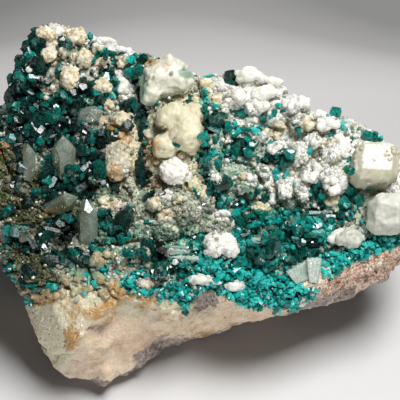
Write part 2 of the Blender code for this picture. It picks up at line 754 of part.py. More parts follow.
def standing_pieces(form, near):
    """The pieces that stand on the crusts by themselves."""
    pieces = []
    for name, u, v, length, radius, lean, bearing in LONE_CRYSTALS:
        bm = dioptase_crystal(length + ROOT, radius)
        height = ground_height(form, u, v)
        stand(bm, face_point(u, v, height - ROOT), math.radians(lean), math.radians(bearing), u + v)
        pieces.append(new_object(name, bm, "dark dioptase"))
    for name, u, v, length, radius, lean, bearing in QUARTZ:
        bm = quartz_crystal(length + ROOT, radius)
        height = ground_height(form, u, v)
        stand(bm, face_point(u, v, height - ROOT), math.radians(lean), math.radians(bearing), u + v)
        pieces.append(new_object(name, bm, "pale quartz"))
    for index, (name, u, v, width, depth, height, facets, mineral) in enumerate(LUMPS):
        bm = cut_stone(width, depth, height, facets, index)
        ground = ground_height(form, u, v)
        stand(bm, face_point(u, v, ground + height * LUMP_LIFT), 0.0, 0.0)
        pieces.append(new_object(name, bm, mineral))
    for name, mineral, facets, stones in JOINED_LUMPS:
        pieces.append(joined_lump(form, name, mineral, facets, stones))
    for name, u, v, width, depth, height, lean, bearing, wear in BLOCKS:
        bm = worn_block((width, depth, height), wear)
        ground = ground_height(form, u, v)
        stand(bm, face_point(u, v, ground + height * LUMP_LIFT), math.radians(lean), math.radians(bearing))
        pieces.append(new_object(name, bm, "white calcite"))
    pieces.append(calcite_blades(form))
    for piece in pieces:
        boolean(piece, near, "DIFFERENCE")
        keep_main_body(piece)
    return pieces


def wear_edges(bm, width):
    """Cut all edges of a block flat, over a width in millimetres."""
    bmesh.ops.bevel(
        bm, geom=bm.edges[:], offset=width * MM, segments=1, profile=0.5, affect="EDGES", material=-1)


def worn_block(sizes, wear):
    """A slightly sheared box of sizes in millimetres, with worn edges."""
    bm = bmesh.new()
    bmesh.ops.create_cube(bm, size=1.0)
    bmesh.ops.scale(bm, vec=Vector(sizes) * MM, verts=bm.verts)
    wear_edges(bm, wear)
    sheared = Matrix(((1, BLOCK_SHEAR, 0, 0), (0, 1, 0, 0), (0, 0, 1, 0), (0, 0, 0, 1)))
    bmesh.ops.transform(bm, matrix=sheared, verts=bm.verts)
    return bm


def calcite_blades(form):
    """A fan of pale blades that part from one root, each widening to its tip."""
    fan = None
    for u, length, lean, bearing, breadth in BLADES:
        root = face_point(u, BLADE_ROOT, ground_height(form, u, BLADE_ROOT) - BLADE_SINK)
        bm = bmesh.new()
        bmesh.ops.create_cube(bm, size=1.0)
        for vert in bm.verts:
            vert.co.z += 0.5
            vert.co.x *= BLADE_TAPER if vert.co.z < 0.5 else 1.0
        bmesh.ops.scale(bm, vec=Vector((breadth, BLADE_THICKNESS, length)) * MM, verts=bm.verts)
        around, down = math.radians(bearing), math.radians(lean)
        ahead = ACROSS * math.cos(around) + UPHILL * math.sin(around)
        aim = OUTWARD * math.cos(down) + ahead * math.sin(down)
        broad = aim.cross(OUTWARD).normalized()
        turn = Matrix((broad, aim.cross(broad), aim)).transposed().to_4x4()
        bmesh.ops.transform(bm, matrix=Matrix.Translation(root) @ turn, verts=bm.verts)
        fan = joined(fan, new_object("blade", bm))
    fan.name = "calcite_blades"
    fan.data.materials.append(material("white calcite"))
    return fan


def joined_lump(form, name, mineral, facets, stones):
    """A lump of several stones that have grown into each other."""
    lump = None
    for index, (u, v, width, depth, height) in enumerate(stones):
        bm = cut_stone(width, depth, height, facets, index + 3)
        ground = ground_height(form, u, v)
        stand(bm, face_point(u, v, ground + height * LUMP_LIFT), 0.0, 0.0, index * STONE_TURN)
        lump = joined(lump, new_object("stone", bm))
    lump.name = name
    lump.data.materials.append(material(mineral))
    return lump


def joined(first, second):
    """Two closed meshes as one. The first may be missing."""
    if first is None:
        return second
    boolean(first, second, "UNION")
    remove(second)
    return first


def balls_around(pieces):
    """A ball around each standing piece, as its middle and its reach in millimetres."""
    balls = []
    for piece in pieces:
        corners = [vert.co for vert in piece.data.vertices]
        middle = sum(corners, Vector()) / len(corners)
        reach = max((corner - middle).length for corner in corners) / MM
        balls.append((middle, reach + GAP))
    return balls


def make_crusts(near, form, keep_out):
    """The crusts, which tile the upper face of the rock."""
    taken = []
    for index, row in enumerate(CRUSTS):
        crust = copy_of(form, row.name)
        grown = cluster(row, form, keep_out, index + 1)
        boolean(crust, grown, "UNION", self_crossing=True)
        remove(grown)
        block = prism(shrunk(row.outline, GAP), row.low, PRISM_TOP)
        boolean(crust, block, "INTERSECT")
        remove(block)
        for other in taken:
            boolean(crust, other, "DIFFERENCE")
        boolean(crust, near, "DIFFERENCE")
        keep_main_body(crust)
        crust.data.materials.clear()
        crust.data.materials.append(material(row.mineral))
        taken.append(prism(row.outline, -PRISM_TOP, PRISM_TOP * 1.1))
    for block in taken:
        remove(block)


def centre_on_floor():
    """Move everything so that the origin lies under the middle of the specimen."""
    corners = [vert.co for obj in bpy.data.objects for vert in obj.data.vertices]
    middle_x = (min(c.x for c in corners) + max(c.x for c in corners)) / 2
    middle_y = (min(c.y for c in corners) + max(c.y for c in corners)) / 2
    for obj in bpy.data.objects:
        obj.data.transform(Matrix.Translation((-middle_x, -middle_y, 0)))


def main():
    """Build the specimen."""
    for obj in list(bpy.data.objects):
        bpy.data.objects.remove(obj)
    _, near, form = make_rock()
    over_crust = copy_of(form, "over_crust")
    grow(over_crust, GAP)
    pieces = standing_pieces(form, over_crust)
    make_crusts(near, form, balls_around(pieces))
    for helper in (near, form, over_crust):
        remove(helper)
    centre_on_floor()


main()
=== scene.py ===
"""The looks of a dioptase specimen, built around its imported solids.

Metres, +Z up, in the frame of the solids. Named places on the crystal face are pixels of the
photograph's 400 by 400 frame, and sizes in pixels become real sizes through PhotoView.
"""

import json
import logging
import math
from collections.abc import Callable, Sequence
from dataclasses import dataclass, field
from enum import Enum

import bmesh
import bpy
import numpy as np
from mathutils import Matrix, Vector, noise
from mathutils.bvhtree import BVHTree


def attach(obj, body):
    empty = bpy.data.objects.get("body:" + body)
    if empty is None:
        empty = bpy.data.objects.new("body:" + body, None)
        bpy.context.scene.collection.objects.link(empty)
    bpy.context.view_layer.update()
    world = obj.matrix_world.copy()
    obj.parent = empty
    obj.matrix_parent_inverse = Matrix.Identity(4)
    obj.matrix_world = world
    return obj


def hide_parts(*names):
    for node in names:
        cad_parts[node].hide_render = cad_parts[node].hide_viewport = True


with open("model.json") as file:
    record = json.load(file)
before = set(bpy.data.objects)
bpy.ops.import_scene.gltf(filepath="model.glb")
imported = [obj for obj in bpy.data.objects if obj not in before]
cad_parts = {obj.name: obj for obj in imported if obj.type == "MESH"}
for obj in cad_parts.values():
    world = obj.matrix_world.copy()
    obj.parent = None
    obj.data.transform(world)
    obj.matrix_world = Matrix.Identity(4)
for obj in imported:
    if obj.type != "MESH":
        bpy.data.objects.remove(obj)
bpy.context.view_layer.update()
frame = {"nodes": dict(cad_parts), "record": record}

LOG = logging.getLogger("dioptase")
MM = 0.001
FULL_TURN = 2 * math.pi
# A full turn, as it is used where a crystal is spun about its length
SPIN = 6.283
FRAME_PIXELS = 400
# Corners closer than this are one
MERGE = 1e-6
BODY = "root"

# The rock's upper face leans to the front
FACE_TILT = math.radians(17)
ACROSS = Vector((1, 0, 0))
UPHILL = Vector((0, math.cos(FACE_TILT), math.sin(FACE_TILT)))
OUTWARD = Vector((0, -math.sin(FACE_TILT), math.cos(FACE_TILT)))

CRUST_NODES = (
    "dioptase_druse_left", "quartz_druse_left", "quartz_crust_centre", "white_crust_right",
    "dioptase_druse_right", "dioptase_druse_front", "stained_quartz_front",
)

Point = tuple[float, float]
Spot = tuple[float, float, float, float]
Colour = tuple[float, float, float]


class Kind(Enum):
    """What grows at a place of the crust."""

    DARK = "dark dioptase"
    GREEN = "green dioptase"
    TURQUOISE = "turquoise dioptase"
    SUGAR = "sugary quartz"
    CLEAR = "clear quartz"
    WHITE = "white calcite"
    CREAM = "cream calcite"
    NONE = "nothing"


KINDS = list(Kind)


def mix_of(**shares: float) -> dict[Kind, float]:
    """Shares by kind, from shares by the kind's name."""
    return {Kind[name]: share for name, share in shares.items()}


# Places of each kind on the photograph: x, y, half width, half height
DARK_SPOTS: list[Spot] = [
    (45, 26, 3, 2), (38, 46, 6, 7), (40, 66, 7, 7), (31, 75, 9, 5), (17, 85, 8, 8), (28, 86, 8, 7),
    (20, 105, 13, 12), (37, 113, 10, 10), (45, 128, 20, 11), (69, 45, 10, 5), (68, 78, 8, 7),
    (108, 71, 6, 6), (103, 83, 4, 5), (89, 88, 6, 7), (117, 91, 5, 8), (137, 72, 9, 4),
    (128, 106, 9, 6), (143, 112, 4, 12), (50, 121, 14, 8), (48, 139, 10, 9), (92, 140, 10, 5),
    (108, 135, 9, 8), (98, 165, 7, 12), (85, 166, 7, 9), (48, 172, 8, 8), (70, 186, 14, 6),
    (58, 188, 5, 4), (88, 195, 8, 5), (143, 147, 4, 10), (145, 172, 5, 15), (150, 196, 3, 4),
    (12, 135, 6, 5), (12, 210, 5, 5), (165, 192, 3, 4), (186, 186, 5, 3), (232, 77, 5, 8),
    (202, 113, 4, 6), (215, 119, 8, 4), (243, 147, 13, 9), (272, 160, 12, 4), (283, 153, 4, 4),
    (290, 158, 3, 4), (372, 138, 8, 4), (352, 199, 8, 7), (265, 200, 5, 5), (315, 191, 5, 9),
    (323, 203, 4, 5), (313, 214, 8, 6), (330, 217, 10, 5), (210, 188, 5, 11), (221, 197, 3, 6),
    (240, 225, 6, 10), (250, 235, 6, 5), (288, 242, 12, 9), (250, 258, 17, 14), (270, 246, 11, 8),
    (300, 255, 9, 6), (268, 262, 10, 8), (59, 229, 16, 12), (120, 230, 7, 12), (9, 232, 5, 10),
    (38, 247, 11, 5), (70, 257, 19, 8), (157, 252, 8, 10), (168, 270, 13, 6), (310, 240, 12, 8),
]
GREEN_SPOTS: list[Spot] = [
    (29, 51, 4, 8), (17, 112, 8, 7), (66, 92, 7, 4), (106, 54, 11, 4), (78, 100, 9, 5),
    (92, 107, 6, 4), (110, 97, 5, 4), (60, 96, 5, 4), (203, 158, 7, 8), (203, 141, 6, 9),
    (213, 128, 8, 5), (227, 127, 4, 6), (283, 218, 10, 8), (300, 226, 22, 12), (325, 232, 16, 8),
    (242, 208, 8, 8), (235, 236, 5, 5), (348, 170, 5, 4), (345, 205, 7, 6), (190, 98, 4, 4),
    (106, 222, 6, 12), (95, 249, 7, 9), (143, 254, 7, 5), (108, 241, 5, 4), (10, 268, 6, 8),
    (47, 289, 6, 5), (184, 270, 10, 8), (228, 150, 6, 6), (262, 215, 9, 6), (222, 205, 7, 7),
    (195, 245, 10, 8), (255, 225, 7, 6), (57, 290, 5, 4), (30, 285, 7, 4), (130, 255, 7, 5),
    (245, 257, 13, 11), (266, 262, 12, 9), (308, 249, 8, 5), (285, 245, 10, 7), (258, 249, 9, 6),
]
TURQUOISE_SPOTS: list[Spot] = [
    (131, 60, 4, 5), (143, 54, 4, 4), (90, 36, 4, 4), (206, 73, 6, 5), (206, 101, 6, 6),
    (255, 130, 7, 4), (238, 130, 4, 4), (337, 112, 6, 5), (380, 137, 5, 4), (212, 264, 16, 7),
    (222, 276, 8, 8), (260, 276, 12, 17), (290, 287, 16, 13), (283, 302, 18, 7), (325, 273, 8, 9),
    (344, 258, 9, 6), (335, 254, 8, 4), (362, 258, 4, 4), (372, 243, 7, 6), (390, 243, 10, 6),
    (103, 270, 5, 7), (127, 283, 8, 8), (139, 274, 9, 4), (145, 290, 12, 5), (172, 290, 15, 7),
    (184, 300, 5, 9), (245, 300, 20, 6), (203, 262, 12, 5), (352, 250, 9, 5), (240, 272, 14, 6),
    (30, 302, 3, 3), (232, 292, 14, 5), (250, 287, 10, 6),
]
WHITE_SPOTS: list[Spot] = [
    (103, 42, 8, 5), (117, 74, 4, 5), (125, 90, 8, 9), (168, 195, 6, 5), (222, 87, 9, 5),
    (262, 107, 13, 7), (290, 107, 7, 7), (345, 150, 6, 9), (321, 168, 7, 8), (335, 187, 13, 9),
    (222, 215, 9, 5), (287, 166, 7, 5), (273, 200, 6, 5), (205, 195, 6, 4), (200, 280, 14, 5),
    (236, 286, 12, 5), (240, 98, 12, 9), (325, 125, 9, 8), (395, 128, 9, 12), (302, 302, 6, 4),
    (310, 178, 9, 7), (255, 120, 9, 6), (215, 178, 5, 4), (250, 178, 7, 5), (56, 28, 7, 5),
    (112, 45, 6, 4), (128, 52, 7, 4), (100, 38, 7, 4), (122, 84, 6, 7), (30, 70, 4, 4),
]
SNOW_SPOTS: list[Spot] = [
    (248, 76, 14, 9), (264, 94, 13, 9), (289, 92, 11, 9), (275, 83, 10, 6), (303, 103, 9, 6),
    (246, 99, 9, 5), (277, 105, 10, 6), (262, 80, 8, 6), (290, 104, 8, 5), (300, 92, 7, 5),
    (343, 150, 6, 12), (337, 139, 6, 6), (322, 116, 8, 6), (330, 124, 9, 7), (342, 236, 15, 8),
    (355, 240, 9, 5), (398, 128, 10, 12), (176, 166, 10, 9), (184, 178, 8, 7), (58, 31, 8, 6),
    (106, 42, 11, 6), (122, 50, 8, 4), (200, 280, 12, 5), (234, 286, 11, 5), (217, 283, 5, 3),
]
CREAM_SPOTS: list[Spot] = [
    (68, 33, 5, 4), (54, 47, 7, 5), (83, 62, 4, 4), (60, 84, 4, 4), (118, 121, 6, 5),
    (132, 129, 8, 6), (121, 135, 5, 4), (125, 141, 8, 5), (135, 146, 6, 6), (149, 135, 6, 5),
    (148, 164, 4, 8), (139, 167, 4, 7), (113, 153, 7, 5), (280, 125, 9, 6), (275, 135, 6, 5),
    (308, 125, 8, 8), (262, 207, 9, 5), (245, 177, 6, 4), (330, 200, 10, 6), (147, 284, 9, 4),
    (105, 202, 6, 6), (117, 205, 5, 6), (205, 85, 8, 7), (215, 100, 8, 6), (155, 203, 6, 5),
    (165, 215, 9, 6), (393, 155, 8, 7), (78, 32, 8, 5), (60, 31, 7, 6), (90, 56, 6, 5),
    (100, 62, 7, 5), (76, 56, 5, 4), (122, 62, 6, 5), (110, 104, 5, 5), (44, 96, 4, 4),
    (100, 120, 5, 4),
]
BARE_SPOTS: list[Spot] = [
    (170, 84, 27, 23), (178, 135, 24, 27), (372, 165, 22, 22), (380, 212, 20, 23), (250, 75, 12, 9),
    (222, 243, 15, 11), (176, 171, 12, 11), (120, 163, 13, 14), (311, 275, 22, 15),
    (68, 158, 12, 15), (92, 122, 11, 8), (86, 233, 10, 20), (63, 206, 14, 9), (34, 172, 7, 20),
]
STAIN_SPOTS: list[Spot] = [
    (112, 176, 7, 7), (111, 127, 4, 5), (121, 134, 6, 5), (150, 150, 5, 12), (155, 185, 4, 6),
    (4, 146, 6, 8), (4, 237, 5, 8), (50, 300, 11, 6), (102, 311, 17, 8), (72, 313, 6, 5),
    (125, 297, 14, 4), (146, 299, 14, 3), (118, 290, 3, 9), (73, 336, 5, 10), (203, 336, 4, 4),
    (156, 62, 5, 3), (53, 211, 6, 6),
]

# Places of a colour cast or of bare rock of one colour, and hollows darkened with painted shade
OLIVE_SPOTS: list[Spot] = [
    (15, 200, 26, 24), (28, 222, 30, 18), (8, 165, 16, 26), (40, 192, 22, 20), (70, 212, 20, 14),
    (64, 238, 12, 10), (25, 262, 34, 18), (48, 182, 24, 20), (40, 280, 26, 16), (14, 146, 16, 12),
]
TINGE_SPOTS: list[Spot] = [
    (140, 83, 10, 20), (188, 73, 12, 6), (152, 106, 7, 5), (120, 235, 34, 20), (175, 235, 34, 16),
    (240, 160, 30, 30), (262, 205, 44, 40), (215, 130, 14, 30), (300, 225, 40, 20),
    (95, 190, 24, 20), (85, 270, 20, 10), (100, 180, 16, 22), (345, 205, 9, 14), (340, 130, 14, 14),
]
BLUSH_SPOTS: list[Spot] = [
    (228, 322, 18, 14), (366, 272, 30, 10), (388, 262, 18, 10), (285, 314, 18, 6),
    (330, 298, 24, 6), (175, 345, 30, 8), (120, 335, 34, 18), (250, 318, 20, 10), (90, 368, 26, 12),
]
RUST_SPOTS: list[Spot] = [
    (340, 281, 18, 10), (356, 272, 22, 14), (374, 265, 22, 16), (393, 258, 14, 16),
    (322, 292, 14, 6),
]
# Hollows and crevices, darkened with painted shade
SHADE_SPOTS: list[Spot] = [
    (61, 234, 14, 18), (87, 88, 5, 7), (146, 170, 5, 18), (160, 250, 8, 9), (226, 182, 5, 6),
    (16, 128, 8, 8), (92, 134, 6, 5), (28, 112, 6, 5), (88, 160, 5, 7),
]
BUTTER_SPOTS: list[Spot] = [
    (172, 108, 30, 22), (176, 138, 28, 32), (164, 166, 20, 16), (197, 100, 10, 14),
    (150, 150, 10, 20), (192, 176, 14, 12), (128, 160, 20, 22),
]
GREY_SPOTS: list[Spot] = [
    (178, 349, 36, 11), (150, 361, 18, 14), (134, 376, 12, 8), (100, 386, 34, 5), (225, 340, 34, 5),
    (345, 297, 40, 7), (205, 300, 14, 9), (310, 306, 26, 6), (390, 282, 14, 8),
]
MOSS_SPOTS: list[Spot] = [
    (100, 300, 34, 24), (165, 304, 30, 8), (60, 322, 22, 20), (58, 350, 14, 20), (130, 300, 22, 12),
    (37, 312, 10, 26),
]

# Thin pale bars
BAR_SPOTS: list[Spot] = [
    (181, 252, 16, 4), (184, 258, 14, 3), (178, 248, 10, 3), (261, 240, 9, 3), (258, 236, 7, 2),
    (333, 213, 12, 4), (328, 219, 12, 3), (340, 222, 9, 3), (66, 155, 3, 9),
]

# Yellow quartz that spreads from the large mass
SPREAD_SPOTS: list[Spot] = [
    (191, 146, 9, 13), (183, 156, 9, 7), (168, 158, 8, 6), (197, 126, 6, 9), (151, 166, 4, 8),
    (196, 104, 6, 8), (190, 186, 8, 7), (201, 190, 6, 8), (178, 200, 8, 6), (158, 158, 6, 6),
]

# Grainy quartz along the lower edge of the crystals
SEAM_SPOTS: list[Spot] = [
    (24, 288, 7, 5), (36, 294, 8, 5), (48, 291, 7, 4), (60, 294, 8, 5), (73, 291, 8, 5),
    (86, 288, 8, 6), (99, 280, 7, 7), (110, 284, 7, 5), (36, 303, 5, 6), (120, 292, 7, 4),
    (96, 262, 8, 9), (80, 276, 8, 6), (112, 252, 8, 7), (120, 264, 8, 8), (66, 280, 7, 5),
    (104, 294, 7, 4), (30, 278, 6, 4),
]

# Places where the bare rock stands out like a step, or is broken away
LEDGE_SPOTS: list[Spot] = [(168, 322, 20, 13), (86, 345, 22, 20)]
BROKEN_SPOTS: list[Spot] = [
    (176, 350, 34, 10), (150, 361, 17, 13), (136, 374, 10, 9), (205, 302, 12, 9),
]

# Wider areas: x, y, half width, half height, then the share of each kind there
ZONES: list[tuple[Spot, dict[Kind, float]]] = [
    ((66, 33, 30, 14), mix_of(CREAM=0.5, WHITE=0.3, SUGAR=0.2)),
    ((100, 46, 30, 14), mix_of(CREAM=0.34, WHITE=0.32, SUGAR=0.34)),
    ((130, 57, 26, 12), mix_of(CREAM=0.2, WHITE=0.28, SUGAR=0.5, TURQUOISE=0.02)),
    ((96, 66, 40, 22), mix_of(CREAM=0.3, DARK=0.14, WHITE=0.22, SUGAR=0.34)),
    ((56, 72, 26, 26), mix_of(CREAM=0.24, DARK=0.34, SUGAR=0.36, WHITE=0.06)),
    ((20, 95, 26, 34), mix_of(DARK=0.94, SUGAR=0.06)),
    ((52, 122, 38, 22), mix_of(DARK=0.95, SUGAR=0.05)),
    ((65, 160, 42, 28), mix_of(DARK=0.46, SUGAR=0.34, CLEAR=0.2)),
    ((20, 175, 24, 30), mix_of(SUGAR=0.74, CLEAR=0.2, DARK=0.06)),
    ((28, 205, 32, 22), mix_of(SUGAR=0.74, CLEAR=0.12, DARK=0.08, CREAM=0.06)),
    ((28, 240, 34, 22), mix_of(SUGAR=0.66, DARK=0.28, CLEAR=0.06)),
    ((122, 106, 20, 36), mix_of(CREAM=0.26, DARK=0.26, WHITE=0.22, SUGAR=0.26)),
    ((128, 160, 24, 34), mix_of(CREAM=0.46, DARK=0.2, SUGAR=0.34)),
    ((95, 200, 34, 22), mix_of(SUGAR=0.68, GREEN=0.08, DARK=0.04, CREAM=0.2)),
    ((165, 205, 44, 30), mix_of(SUGAR=0.72, CREAM=0.16, WHITE=0.12)),
    ((155, 235, 44, 26), mix_of(SUGAR=0.78, CREAM=0.12, GREEN=0.06, CLEAR=0.04)),
    ((180, 150, 24, 36), mix_of(SUGAR=0.5, CREAM=0.4, WHITE=0.1)),
    ((215, 115, 22, 40), mix_of(GREEN=0.2, WHITE=0.34, CREAM=0.16, SUGAR=0.3)),
    ((262, 98, 44, 24), mix_of(WHITE=0.72, SUGAR=0.22, GREEN=0.06)),
    ((255, 130, 40, 18), mix_of(WHITE=0.46, SUGAR=0.26, GREEN=0.18, CREAM=0.1)),
    ((240, 165, 36, 26), mix_of(SUGAR=0.42, WHITE=0.3, GREEN=0.18, DARK=0.06, CREAM=0.04)),
    ((300, 140, 40, 34), mix_of(WHITE=0.5, CREAM=0.22, SUGAR=0.22, GREEN=0.06)),
    ((340, 120, 30, 16), mix_of(WHITE=0.4, TURQUOISE=0.3, SUGAR=0.3)),
    ((325, 185, 34, 28), mix_of(WHITE=0.5, CREAM=0.2, DARK=0.1, SUGAR=0.2)),
    ((240, 205, 26, 22), mix_of(SUGAR=0.42, WHITE=0.26, GREEN=0.22, CREAM=0.1)),
    ((295, 218, 44, 18), mix_of(GREEN=0.5, DARK=0.06, SUGAR=0.3, CLEAR=0.14)),
    ((270, 248, 46, 20), mix_of(DARK=0.2, GREEN=0.5, CLEAR=0.14, TURQUOISE=0.16)),
    ((345, 238, 30, 14), mix_of(WHITE=0.6, SUGAR=0.3, TURQUOISE=0.1)),
    ((255, 285, 70, 18), mix_of(TURQUOISE=0.8, WHITE=0.05, SUGAR=0.15)),
    ((210, 268, 30, 14), mix_of(TURQUOISE=0.7, GREEN=0.14, WHITE=0.1, SUGAR=0.06)),
    ((155, 280, 40, 20), mix_of(TURQUOISE=0.3, GREEN=0.08, SUGAR=0.42, CREAM=0.2)),
    ((122, 262, 34, 26), mix_of(SUGAR=0.78, CLEAR=0.04, CREAM=0.14, GREEN=0.04)),
    ((95, 280, 34, 22), mix_of(NONE=0.55, SUGAR=0.33, TURQUOISE=0.12)),
    ((40, 275, 34, 20), mix_of(SUGAR=0.78, GREEN=0.06, CLEAR=0.16)),
    ((362, 246, 40, 10), mix_of(TURQUOISE=0.6, WHITE=0.2, SUGAR=0.2)),
]

# The line on the photograph under which the front is bare rock
BARE_EDGE: list[Point] = [
    (0, 296), (30, 308), (46, 300), (62, 304), (88, 300), (112, 290), (125, 296), (150, 298),
    (178, 302), (186, 314), (193, 304), (202, 290), (216, 293), (235, 302), (255, 310), (298, 309),
    (312, 298), (326, 280), (345, 268), (372, 256), (400, 246),
]
EDGED_NODES = ("dioptase_druse_front", "stained_quartz_front")

# The specimen's upper outline on the photograph, which no grown crystal crosses
TOP_OUTLINE: list[Point] = [
    (0, 104), (8, 95), (10, 75), (20, 62), (27, 42), (42, 23), (62, 25), (75, 27), (86, 35),
    (105, 44), (125, 51), (152, 52), (170, 58), (184, 65), (196, 76), (214, 73), (229, 67),
    (240, 65), (256, 70), (266, 78), (282, 84), (300, 100), (309, 107), (322, 111), (333, 106),
    (350, 117), (375, 131), (400, 140),
]


def linear(red: float, green: float, blue: float) -> Colour:
    """The linear colour of a screen colour given from 0 to 255.

    Args:
        red: The red value on screen.
        green: The green value on screen.
        blue: The blue value on screen.

    Returns:
        The same colour in linear light.
    """
    made = []
    for value in (red, green, blue):
        share = value / 255
        made.append(share / 12.92 if share <= 0.04045 else ((share + 0.055) / 1.055) ** 2.4)
    return (made[0], made[1], made[2])


@dataclass(frozen=True)
class PhotoView:
    """The photograph's camera, which also turns its pixels into places."""

    elevation: float = math.radians(55)
    distance: float = 0.45
    look_at: tuple[float, float, float] = (-0.00026, 0.00013, 0.030)
    frame_width: float = 0.116
    sensor: float = 36.0

    @property
    def ahead(self) -> Vector:
        """The direction in which the camera looks."""
        return Vector((0, math.cos(self.elevation), -math.sin(self.elevation)))

    @property
    def up(self) -> Vector:
        """The direction that is up in the picture."""
        return Vector((0, math.sin(self.elevation), math.cos(self.elevation)))

    @property
    def eye(self) -> Vector:
        """Where the camera stands."""
        return Vector(self.look_at) - self.ahead * self.distance

    @property
    def pixel(self) -> float:
        """The size of a pixel at the distance of the look-at point, in metres."""
        return self.frame_width / FRAME_PIXELS

    def make_camera(self) -> bpy.types.Object:
        """Create the camera and make it the scene's.

        Returns:
            The camera object.
        """
        data = bpy.data.cameras.new("camera")
        data.sensor_width = self.sensor
        data.lens = self.sensor * self.distance / self.frame_width
        data.clip_start = 0.01
        data.clip_end = 10.0
        camera = link("camera", data)
        camera.location = self.eye
        camera.rotation_euler = self.ahead.to_track_quat("-Z", "Y").to_euler()
        bpy.context.scene.camera = camera
        return camera

    def ray(self, x: float, y: float) -> Vector:
        """The direction from the camera through a pixel.

        Args:
            x: Pixels from the left edge.
            y: Pixels from the top edge.

        Returns:
            The direction, of length one.
        """
        half = FRAME_PIXELS / 2
        aside = (x - half) * self.pixel / self.distance
        above = (half - y) * self.pixel / self.distance
        return (self.ahead + ACROSS * aside + self.up * above).normalized()

    def pixels_of(self, points: np.ndarray) -> np.ndarray:
        """The pixels at which places show.

        Args:
            points: Places, one to a row.

        Returns:
            The x and y pixel of each place, one to a row.
        """
        offset = points - np.array(self.eye)
        depth = offset @ np.array(self.ahead)
        scale = self.distance / self.pixel / depth
        across = offset[:, 0] * scale
        above = (offset @ np.array(self.up)) * scale
        half = FRAME_PIXELS / 2
        return np.stack([half + across, half - above], axis=1)


VIEW = PhotoView()


def on_face(across: float, uphill: float) -> Vector:
    """A step along the leaning face of the rock."""
    return ACROSS * across + UPHILL * uphill


def spot_weight(pixels: np.ndarray, spots: Sequence[Spot], edge: float = 0.0) -> np.ndarray:
    """How far inside the spots each pixel lies.

    Args:
        pixels: Pixels, one to a row.
        spots: Ellipses as x, y, half width and half height.
        edge: How many pixels each ellipse is widened.

    Returns:
        One for the middle of a spot, falling to zero at its edge, for each pixel.
    """
    weight = np.zeros(len(pixels))
    for x, y, half_width, half_height in spots:
        across = (pixels[:, 0] - x) / (half_width + edge)
        along = (pixels[:, 1] - y) / (half_height + edge)
        weight = np.maximum(weight, 1 - across ** 2 - along ** 2)
    return weight


class Value:
    """A number socket of a material that Python's operators work on."""

    def __init__(self, tree: "Tree", socket: bpy.types.NodeSocket) -> None:
        """Wrap a socket of a tree."""
        self.tree = tree
        self.socket = socket

    def math(self, operation: str, *others: "Value | float") -> "Value":
        """Add a Math node that starts with this value.

        Args:
            operation: The Math node's operation.
            others: The further operands.

        Returns:
            The result.
        """
        inputs = dict(enumerate((self, *others)))
        node = self.tree.add("ShaderNodeMath", {"operation": operation}, inputs)
        return Value(self.tree, node.outputs[0])

    def __add__(self, other: "Value | float") -> "Value":
        """This value plus another."""
        return self.math("ADD", other)

    __radd__ = __add__

    def __sub__(self, other: "Value | float") -> "Value":
        """This value minus another."""
        return self.math("SUBTRACT", other)

    def __rsub__(self, other: float) -> "Value":
        """A number minus this value."""
        return (self * -1) + other

    def __mul__(self, other: "Value | float") -> "Value":
        """This value times another."""
        return self.math("MULTIPLY", other)

    __rmul__ = __mul__

    def __pow__(self, other: "Value | float") -> "Value":
        """This value raised to a power."""
        return self.math("POWER", other)

    def step(self, low: float, high: float) -> "Value":
        """Rise smoothly from zero at a low value to one at a high value."""
        node = self.tree.add("ShaderNodeMapRange", {"interpolation_type": "SMOOTHSTEP"},
                             {"Value": self, "From Min": low, "From Max": high})
        return Value(self.tree, node.outputs[0])


